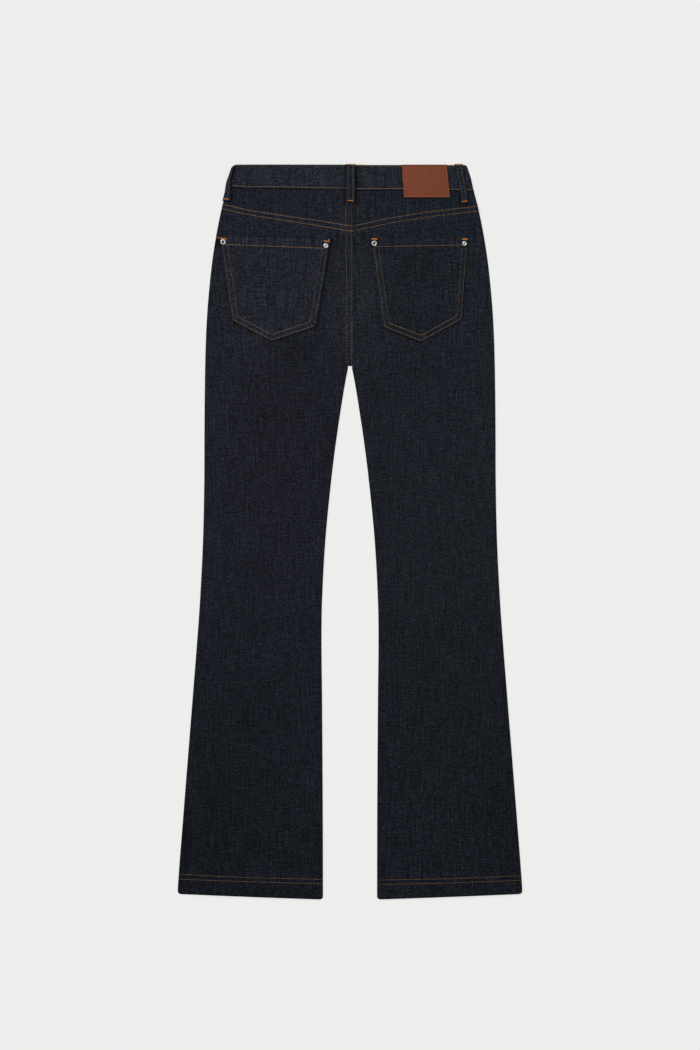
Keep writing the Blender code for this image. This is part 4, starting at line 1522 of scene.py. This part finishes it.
def button_profile():
    rim, face = BUTTON_RADIUS, 1.35
    return [(0.0, 0.95), (3.0, 0.97), (5.6, 1.0), (6.1, 1.12), (6.5, face),
            (7.2, face + 0.03), (8.0, face - 0.1), (rim, 0.95), (rim, 0.5),
            (rim - 0.6, 0.12), (0.0, 0.12)]


def turned(name, profile, place, up, materials, dark_inside):
    """A profile of (radius, height) spun round a vertical axis at place."""
    bm = bmesh.new()
    points = [bm.verts.new((radius * MM, 0, height * MM)) for radius, height in profile]
    edges = [bm.edges.new(pair) for pair in zip(points, points[1:])]
    bmesh.ops.spin(bm, geom=points + edges, angle=2 * math.pi, steps=TURN_STEPS,
                   axis=(0, 0, 1), cent=(0, 0, 0), use_merge=True)
    bmesh.ops.remove_doubles(bm, verts=bm.verts[:], dist=0.00001)
    bmesh.ops.recalc_face_normals(bm, faces=bm.faces[:])
    for face in bm.faces:
        middle = face.calc_center_median()
        face.material_index = int(middle.xy.length < dark_inside * MM
                                  and middle.z > 0.2 * MM
                                  and middle.xy.length > NAIL * MM)
        face.smooth = True
    bmesh.ops.transform(bm, matrix=Matrix.Translation(place)
                        @ Matrix.Diagonal((1, 1, up, 1)), verts=bm.verts[:])
    if up < 0:
        bmesh.ops.reverse_faces(bm, faces=bm.faces[:])
    mesh = as_mesh(bm, name)
    mesh.set_sharp_from_angle(angle=math.radians(TURNED_SHARP))
    return add_object(mesh, *materials)


print("a rivet is turned from", len(rivet_profile(RIVETS["left_outer_rivet"])), "points")

# %% [markdown]
# ### Metal on the cloth
# A ray from above finds the outermost cloth at a place, and later lays the stitches
# too. Each rivet is pressed down onto the highest cloth under its rim.

# %% Metal on the jeans
RIM_REACH, RIM_PLACES = 3.3, 12              # where the cloth under a rim is felt
RIVET_PRESS = 0.15
BUTTON_BASE = 1.45           # height that its profile starts down from


def trees_of(*names):
    """A search tree for each named piece, to find the cloth's surface under a point."""
    graph = bpy.context.evaluated_depsgraph_get()
    return [BVHTree.FromObject(pieces[name].obj, graph) for name in names]


def surface(trees, x, drop, up=1):
    """The outermost point of the cloth there, and its normal."""
    start = Vector((x * MM, (WAIST_Y - drop) * MM, up * 0.03))
    hits = [tree.ray_cast(start, Vector((0, 0, -up))) for tree in trees]
    hits = [hit for hit in hits if hit[0] is not None]
    if not hits:
        return None
    point, normal = min(hits, key=lambda hit: hit[3])[:2]
    return point, (normal if normal.z * up > 0 else -normal)


back_trees = trees_of(*(name for name in pieces if "front" not in name))
front_trees = trees_of(*(name for name in pieces if "front" in name))
metal = {}
for name, rivet in RIVETS.items():
    rim = [surface(back_trees, rivet.x + RIM_REACH * math.cos(turn),
                   rivet.drop + RIM_REACH * math.sin(turn))
           for turn in np.linspace(0, 2 * math.pi, RIM_PLACES)]
    height = max(hit[0].z for hit in rim) - RIVET_PRESS * MM
    metal[name] = turned(name.replace("rivet", "metal_rivet"), rivet_profile(rivet),
                         (rivet.x * MM, (WAIST_Y - rivet.drop) * MM, height), 1,
                         (nickel, nickel_dark), rivet.pit)
button_drop = FRONT_DIP + BAND_HEIGHT / 2
metal["waist_button"] = turned("metal_waist_button", button_profile(),
                               (0, (WAIST_Y - button_drop) * MM, BUTTON_BASE * MM), -1,
                               (button_metal, nickel_dark), 0)
print("metal pieces:", len(metal))

# %% [markdown]
# ## Thread
# Topstitching uses a thick polyester thread in tobacco. Its colour wanders a little
# along the thread, and the thread of the waistband and loops has worn paler.

# %% Thread
def thread_material(name, colour, dark):
    material, shader = new_material(name, {
        "Roughness": 0.6, "Specular IOR Level": 0.3, "IOR": 1.5,
        "Sheen Weight": 0.1, "Sheen Roughness": 0.4})
    tree = material.node_tree
    place = add_node(tree, "TexCoord")
    fibre = add_node(tree, "TexNoise", {"Vector": place.outputs["Object"]},
                     {"Scale": 1 / 0.004, "Detail": 2.0})
    mix = between(tree, fibre.outputs["Fac"], 0.15, linear(dark), linear(colour))
    ply = add_node(tree, "TexNoise", {"Vector": place.outputs["Object"]},
                   {"Scale": 1 / 0.0003, "Detail": 1.0})
    join(tree, shader, mix, ply.outputs["Fac"], 0.4, 0.0001)
    return material


tobacco = thread_material("tobacco_polyester_thread", "#9C7340", "#70583B")
worn_tobacco = thread_material("worn_tobacco_thread", "#9E7B5B", "#78624D")
orange = thread_material("orange_bartack_thread", "#D07C26", "#A85C16")
print("materials:", tobacco.name, worn_tobacco.name, orange.name)

# %% [markdown]
# ### Stitches
# A texture of stitches slides and blurs, so each stitch is a small bead of its own: a
# sphere drawn out long, laid on the cloth and turned along its row. Rows across the
# twill stand proud of it, and rows down the warp sink in between the cords, so their
# stitches look shorter. They are 3 mm apart, give or take a little.

# %% Stitches
STITCH_PITCH = 3.0
Stitch = namedtuple("Stitch", "length width height stand")   # stand: above the cloth
BOLD = Stitch(2.7, 0.92, 0.65, 0.09)         # rows over the thickest seams
ACROSS = Stitch(2.6, 0.74, 0.6, 0.07)        # rows that stand on the twill
HEM = Stitch(2.6, 0.5, 0.5, 0.0)             # rows drawn into the thick hem
DOWN = Stitch(1.2, 0.92, 0.5, -0.03)         # rows that sink into the twill
FAINT = Stitch(1.05, 0.7, 0.45, -0.05)
SUNK = Stitch(0.85, 0.5, 0.4, -0.06)
BLUNT = 0.6                  # below 1 the ends of a stitch are blunt
SHAKE_ALONG, SHAKE_ASIDE = 0.07, 0.06        # mm, so that no row is perfect
AIM_REACH = 0.3              # mm before and after a stitch that its aim is read from
shake = np.random.default_rng(8)


def bead(stitch):
    """One stitch along x: a sphere drawn out, with blunt ends."""
    bm = bmesh.new()
    bmesh.ops.create_uvsphere(bm, u_segments=6, v_segments=5, radius=0.5)
    for vert in bm.verts:
        x, y, z = vert.co
        long = math.copysign(abs(2 * z) ** BLUNT, z) / 2
        vert.co = (long * stitch.length * MM, x * stitch.width * MM,
                   y * stitch.height * MM)
    mesh = as_mesh(bm, "bead")
    mesh.shade_smooth()
    return mesh


def lay(bm, shape, stand, trees, x, drop, aim, up):
    """Adds one bead to bm, on the cloth at x and drop, pointing along aim."""
    hit = surface(trees, x, drop, up)
    if hit is None:
        return 0
    point, normal = hit
    ahead = Vector((aim[0], -aim[1], 0))
    ahead = (ahead - normal * ahead.dot(normal)).normalized()
    beside = normal.cross(ahead)
    place = Matrix.Translation(point + normal * stand * MM) @ Matrix(
        (ahead, beside, normal)).transposed().to_4x4()
    copy = shape.copy()
    copy.transform(place)
    bm.from_mesh(copy)
    bpy.data.meshes.remove(copy)
    return 1


def thread_object(name, bm, material, count):
    mesh = as_mesh(bm, name)
    print(f"{name}: {count} stitches, {len(mesh.polygons)} faces")
    return add_object(mesh, material)


print("stitches lie", STITCH_PITCH, "mm apart")

# %% [markdown]
# ### Sewing a row
# A row is a line of points. The stitches are set out along it at their pitch, each a
# hair off its place, and all the rows of a group end up in one mesh.

# %% Sewing
def sew(name, rows, trees, up=1, press=0.0, material=tobacco):
    """Topstitching. rows holds (stitch, points), with points as (x, drop), and press
    is how much deeper the thread is pressed in."""
    bm, count = bmesh.new(), 0
    for stitch, points in rows:
        points = np.array(points, float)
        steps = np.hypot(*np.diff(points, axis=0).T)
        along = np.concatenate([[0], np.cumsum(steps)])
        shape = bead(stitch)
        for at in np.arange(STITCH_PITCH / 2, along[-1], STITCH_PITCH):
            at = at + shake.normal(0, SHAKE_ALONG)
            (x, drop), (nx, ndrop) = (
                [np.interp(at + step, along, points[:, i]) for i in (0, 1)]
                for step in (-AIM_REACH, AIM_REACH))
            aside = shake.normal(0, SHAKE_ASIDE)
            length = max(1e-6, math.hypot(nx - x, ndrop - drop))
            aim = ((nx - x) / length, (ndrop - drop) / length)
            count += lay(bm, shape, stitch.stand - press, trees,
                         (x + nx) / 2 - aim[1] * aside,
                         (drop + ndrop) / 2 + aim[0] * aside, aim, up)
    return thread_object(name, bm, material, count)


def line(start, end):
    """Points from start to end, close enough for the row to follow the cloth."""
    count = max(2, int(math.dist(start, end) / STITCH_PITCH) + 1)
    return list(np.linspace(start, end, count))


def along_x(x_from, x_to, rule):
    """Points of a row across the jeans, whose drops a rule gives."""
    xs = np.linspace(x_from, x_to, max(2, int(abs(x_to - x_from) / STITCH_PITCH) + 1))
    return list(zip(xs, rule(xs)))


print("points on a row of 90 mm:", len(line((0, 0), (0, 90))))

# %% [markdown]
# ### Rows of the pockets
# A pocket's rows are its outline moved in, side by side, until the sides meet again.
# Their corners are rounded, as a sewing machine turns them.

# %% Rows of the pockets
PocketRow = namedtuple("PocketRow", "left low_left low_right right")
POCKET_ROWS = {
    "left": (PocketRow(2.4, 1.8, 1.9, 2.9), PocketRow(9.3, 8.9, 9.5, 10.0)),
    "right": (PocketRow(2.7, 1.8, 1.9, 2.0), PocketRow(9.9, 9.2, 8.8, 8.2)),
}
POCKET_TOPS = {"left": (12.3, 13.3), "right": (12.5, 11.0)}
ROW_CORNER = 2.5             # mm that a row's corners are rounded off by


def inset_outline(side, inset):
    """The pocket's outline without its top, each side moved in by its own inset."""
    outline = [np.array(corner) for corner in POCKETS[side]]
    lines = []
    for a, b, shift in zip(outline, outline[1:], inset):
        along = unit(b - a)
        normal = np.array([along[1], -along[0]])
        lines.append((a + normal * shift, along))
    points = []
    for (a, u), (b, v) in zip(lines, lines[1:]):
        t = ((b - a)[0] * v[1] - (b - a)[1] * v[0]) / (u[0] * v[1] - u[1] * v[0])
        points.append(a + u * t)
    return [lines[0][0]] + points + [lines[-1][0] + lines[-1][1] * np.linalg.norm(
        outline[-1] - outline[-2])]


def softened(points):
    """The same path with its inner corners rounded off."""
    path = [points[0]]
    for before, corner, after in zip(points, points[1:], points[2:]):
        back = corner + unit(before - corner) * ROW_CORNER
        ahead = corner + unit(after - corner) * ROW_CORNER
        path += [back, (back + ahead + 2 * corner) / 4, ahead]
    return path + [points[-1]]


def pocket_rows(side):
    """Two rows down each side and round the point, and one across the top hem."""
    rows, tops = [], POCKET_TOPS[side]
    first, last = np.array(POCKETS[side].top_left), np.array(POCKETS[side].top_right)
    for sides, inset in zip((DOWN, FAINT), POCKET_ROWS[side]):
        path = inset_outline(side, inset)
        for i, (end, far) in enumerate(((0, 1), (-1, -2))):
            path[end] = path[end] + unit(path[far] - path[end]) * (tops[i] + 2.0)
        path = softened(path)
        rows += [(DOWN, path[:2]), (ACROSS, path[1:-1]), (sides, path[-2:])]
    start = first + (last - first) * 0.045 + np.array([0, tops[0]])
    end = last + (first - last) * 0.06 + np.array([0, tops[1]])
    return rows + [(BOLD if side == "left" else ACROSS, line(start, end))]


print("points of a pocket's row:", len(softened(inset_outline("left", (2,) * 4))))

# %% [markdown]
# ### Rows along the seams
# The rows of the yokes, the seat seam and the hems are drawn from measured heights
# above the seam's edge, because no machinist keeps quite the same distance.

# %% Seam rows
BAND_ROW_INSETS = {"left": 1.6, "right": 1.25}
YokeRows = namedtuple("YokeRows", "out left_low left_high right_low right_high")
YOKE_ROWS = [                # heights of the rows above the yoke's lower edge
    YokeRows(5, 2.4, 10.4, 1.7, 9.4),
    YokeRows(40, 1.5, 9.1, 1.0, 8.6),
    YokeRows(80, 1.3, 8.5, 0.4, 7.7),
    YokeRows(130, 1.5, 8.1, 0.4, 7.7),
    YokeRows(195, 1.5, 8.7, 1.1, 8.4),
]
LOOP_ROW = 3.2               # in from the loop's edges
HEM_ROW_DROP = 1070          # where the hem rows' ends are read from the outline
ROW_POINTS = 80
YOKE_WAVE = 0.25             # mm that the yoke's rows wander


def hem_line(side, heights):
    sign = -1 if side == "left" else 1
    inner, outer = half_gap(HEM_ROW_DROP) + 1.2, half_width(HEM_ROW_DROP) - 1.0
    xs = np.linspace(inner, outer, ROW_POINTS)
    return list(zip(sign * xs, hem_drop(xs) - np.interp(xs, ROW_PLACES, heights)))


def loop_rows(loop, *stitches):
    """Two rows down a loop, from tack to tack."""
    top, low = np.array(loop.top), np.array(loop.low)
    reach, low_reach = loop.width / 2 - LOOP_ROW, loop.low_width / 2 - LOOP_ROW
    return [(stitch, line(top + (side * reach, 2.2), low + (side * low_reach, -2.6)))
            for side, stitch in zip((-1, 1), stitches)]


band_rows = [
    (ACROSS, along_x(-177, 2, lambda x: back_band_low(x) - BAND_ROW_INSETS["left"])),
    (ACROSS, along_x(2, 183, lambda x: back_band_low(x) - BAND_ROW_INSETS["right"])),
    (FAINT, along_x(-168, 2, lambda x: 2.0 + 0 * x)),
    (BOLD, along_x(8, 172, lambda x: 1.45 + back_band_top(x))),
]
yoke_rows = []
for side, sign, start in (("left", -1, -CENTRE_SEAM + 1), ("right", 1, CENTRE_SEAM + 1)):
    for edge in ("_low", "_high"):
        outs = np.linspace(start, 193, ROW_POINTS)
        rule = read(SEAMS, side + "_yoke", outs) - read(YOKE_ROWS, side + edge, outs)
        wavy = YOKE_WAVE * ripple(outs / 16, 0 * outs + sign, 81)
        yoke_rows.append((BOLD if side == "left" else ACROSS,
                          list(zip(sign * outs, rule + wavy))))
seat_rows = [(DOWN, line((x, 39), (x, CROTCH_DROP - 2.5))) for x in SEAT_ROWS]
hem_rows = [(HEM, hem_line(side, heights)) for side, both in HEM_ROWS.items()
            for heights in both]
side_loop_row = [(FAINT, line((-181.2, 14), (-182.6, 48)))]
print("rows on the band, yokes, seat and hems:",
      *map(len, (band_rows, yoke_rows, seat_rows, hem_rows)))

# %% [markdown]
# ### Sewing the back
# Each group of rows is sewn onto the pieces that it holds together, and becomes one
# object, so that a group can be shown or left out on its own.

# %% Thread of the back
threads = [
    sew("band_topstitching", band_rows, trees_of("back_waistband"),
        material=worn_tobacco),
    sew("yoke_topstitching", yoke_rows, back_trees),
    sew("seat_seam_topstitching", seat_rows, trees_of(
        "left_back_panel", "left_back_yoke", "right_back_yoke")),
    sew("left_pocket_topstitching", pocket_rows("left"), trees_of("left_back_pocket")),
    sew("right_pocket_topstitching", pocket_rows("right"),
        trees_of("right_back_pocket")),
    sew("hem_topstitching", hem_rows, back_trees),
    sew("loop_topstitching",
        loop_rows(BACK_LOOPS["centre_back_loop"], SUNK, DOWN)
        + loop_rows(BACK_LOOPS["right_back_loop"], SUNK, FAINT) + side_loop_row,
        trees_of("centre_back_loop", "right_back_loop", "left_side_loop"),
        material=worn_tobacco),
]

# %% [markdown]
# ### Rows of the front
# The front is the side that lies on the surface. Its fly is sewn down in a J, from
# the waistband to the seat seam, with the rows that any jeans have.

# %% Rows of the front
FLY_ROWS = (-36.0, -30.0)
FLY_TURN = 172.0
FLY_END = 208.0
FRONT_SEAT_ROWS = (-1.2, -7.2)
TURN_POINTS = 12
FRONT_PRESS = 0.15           # the front's thread carries the weight of the jeans


def fly_row(x, end_x):
    """Down from the waistband, then round to the centre."""
    points = line((x, front_dip(np.array(x)) + BAND_HEIGHT + 2), (x, FLY_TURN))
    low = FLY_END + (x - FLY_ROWS[1])
    for i in range(1, TURN_POINTS + 1):
        angle = i / TURN_POINTS * math.pi / 2
        points.append((x + (end_x - x) * (1 - math.cos(angle)),
                       FLY_TURN + (low - FLY_TURN) * math.sin(angle)))
    return points


front_rows = [(ACROSS, fly_row(x, -1.0)) for x in FLY_ROWS]
front_rows += [(DOWN, line((x, FLY_END + 4), (x, CROTCH_DROP - 3)))
               for x in FRONT_SEAT_ROWS]
front_rows += [(ACROSS, along_x(-182, 182, lambda x: front_dip(x) + BAND_HEIGHT
                                - BAND_ROW_INSETS["left"])),
               (FAINT, along_x(-168, 172, lambda x: front_dip(x) + 1.6))]
front_rows += hem_rows
for loop in FRONT_LOOPS.values():
    front_rows += loop_rows(loop, DOWN, DOWN)
threads.append(sew("front_topstitching", front_rows, front_trees, -1, FRONT_PRESS))

# %% [markdown]
# ### Bartacks
# A bartack is a tight zigzag of bright orange thread. It is a short bar across the end
# of a loop or a pocket's corner, where the cloth would tear first.

# %% Bartacks
Tack = namedtuple("Tack", "x drop length turn height")       # x, drop: its middle
BACK_TACKS = [
    Tack(1.4, 0.2, 10.5, 0, 1.7),
    Tack(0.6, 54.0, 8.4, 4, 1.9),
    Tack(-185.6, 51.6, 6.8, 4, 1.8),
    Tack(162.9, 0.4, 9.0, 0, 1.5),
    Tack(171.4, 55.2, 7.4, -5, 1.9),
    Tack(-198.2, 109.0, 5.5, 8, 1.2),
    Tack(-189.8, 110.8, 9.4, 4, 2.4),
    Tack(-35.2, 114.8, 7.6, -3, 2.3),
    Tack(-31.2, 113.8, 5.6, 82, 1.7),
    Tack(36.7, 111.4, 8.6, 3, 2.6),
    Tack(172.4, 111.7, 8.8, -3, 3.0),
]
FRONT_TACKS = [Tack(-8.0, FLY_END - 1, 9.0, 90, 1.9), Tack(-33, FLY_TURN, 6.5, 0, 1.9),
               Tack(-13.0, button_drop, 8.0, 0, 3.2)]
for loop in FRONT_LOOPS.values():
    FRONT_TACKS += [Tack(loop.top[0], loop.top[1] + 2, 10.0, 0, 1.8),
                    Tack(loop.low[0], loop.low[1] - 3, 10.0, 0, 1.9)]
TACK_PITCH = 0.42
TACK_SLANT = 13              # degrees that the zigzag leans, one way and the other
TACK_THREAD = (0.55, 0.5)    # width and height of its stitches
TACK_SHAKE = 0.1
TACK_RISES = (0.12, 0.22)    # every second stitch crosses over the one before


def tack_down(name, tacks, trees, up=1, press=0.0):
    bm, count = bmesh.new(), 0
    for tack in tacks:
        shape = bead(Stitch(tack.height, *TACK_THREAD, 0))
        turn = math.radians(tack.turn)
        along = np.array([math.cos(turn), math.sin(turn)])
        across = np.array([-math.sin(turn), math.cos(turn)])
        number = round(tack.length / TACK_PITCH)
        for i in range(number):
            reach = (i + 0.5) / number - 0.5
            spot = np.array([tack.x, tack.drop]) + along * reach * tack.length
            spot = spot + across * shake.normal(0, TACK_SHAKE)
            lean = math.radians(TACK_SLANT * (-1) ** i)
            aim = across * math.cos(lean) + along * math.sin(lean)
            count += lay(bm, shape, TACK_RISES[i % 2] - press, trees, *spot, aim, up)
    return thread_object(name, bm, orange, count)


tacks = [tack_down("back_bartacks", BACK_TACKS, back_trees),
         tack_down("front_bartacks", FRONT_TACKS, front_trees, -1, 1.6 * FRONT_PRESS)]

# %% [markdown]
# ## Telling the frame what stands for what
# Every piece rides on the one body of the jeans and takes the place of its plain
# solid.

# %% Pieces and cloth sizes
for node, piece in pieces.items():
    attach(piece.obj, "root")
    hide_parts(node)
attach(waist_patch.obj, "root")
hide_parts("waist_patch")
for node, obj in metal.items():
    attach(obj, "root")
    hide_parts(node)
for obj, slot in ([(obj, "topstitch_thread") for obj in threads]
                  + [(obj, "bartack_thread") for obj in tacks]):
    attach(obj, "root")
print("cloth built, m2:", round(sum(piece.area for piece in pieces.values()), 3))

# %% [markdown]
# ## Studio
# Flat clothes are shown from straight above. Here they lie on a light table, opal
# acrylic lit from below, which keeps the ground white and nearly free of shadow. One
# large soft light stands at the upper left, so that each seam, loop and pocket throws
# a short soft shadow to the right and down.

# %% Floor and light
FLOOR_RADIUS = 40.0          # metres, so that its edge is far away in every view
bm = bmesh.new()
bmesh.ops.create_circle(bm, cap_ends=True, radius=FLOOR_RADIUS, segments=128)
opal = new_material("opal_acrylic_light_table", {
    "Base Color": linear("#606060"), "Roughness": 1.0, "Specular IOR Level": 0.0,
    "Emission Color": linear("#EEEEEC"), "Emission Strength": 0.871})[0]
floor = add_object(as_mesh(bm, "floor"), opal)
SUN_FROM = Vector((-0.58, 0.62, 1.0))
SUN_STRENGTH = 2.3
SUN_SOFTNESS = 22            # degrees
sun = bpy.data.lights.new("large_soft_light", "SUN")
sun.energy = SUN_STRENGTH
sun.angle = math.radians(SUN_SOFTNESS)
sun_object = bpy.data.objects.new("large_soft_light", sun)
sun_object.rotation_euler = SUN_FROM.to_track_quat("Z", "Y").to_euler()
bpy.context.scene.collection.objects.link(sun_object)

room = bpy.data.worlds.new("bright_room")
room.use_nodes = True
room.node_tree.nodes["Background"].inputs["Color"].default_value = linear("#F4F4F2")
room.node_tree.nodes["Background"].inputs["Strength"].default_value = 0.42
bpy.context.scene.world = room
bpy.context.scene.view_settings.view_transform = "Standard"
print("floor", 2 * FLOOR_RADIUS, "m across, sun of strength", sun.energy)

# %% [markdown]
# ### Camera
# A long lens high above keeps the outline true, as a catalogue shows it. Its height
# follows from the scale, the millimetres that one pixel of the picture covers.

# %% Camera
PICTURE_HEIGHT = 1050        # pixels
PIXEL = 1.5                  # mm that a pixel covers on the jeans
WAIST_ROW = 164.9            # pixels from the picture's top down to the waist edge
JEANS_FACE = 0.004           # height in metres at which that scale holds
MIDDLE_Y = WAIST_Y - (PICTURE_HEIGHT / 2 - WAIST_ROW) * PIXEL
lens = bpy.data.cameras.new("overhead_camera")
lens.lens, lens.sensor_width = 85, 36
camera = bpy.data.objects.new("overhead_camera", lens)
distance = PICTURE_HEIGHT * (PIXEL * MM) * lens.lens / lens.sensor_width
camera.location = (0, MIDDLE_Y * MM, JEANS_FACE + distance)
bpy.context.scene.collection.objects.link(camera)
bpy.context.scene.camera = camera
print("camera", round(distance, 3), "m above the jeans")
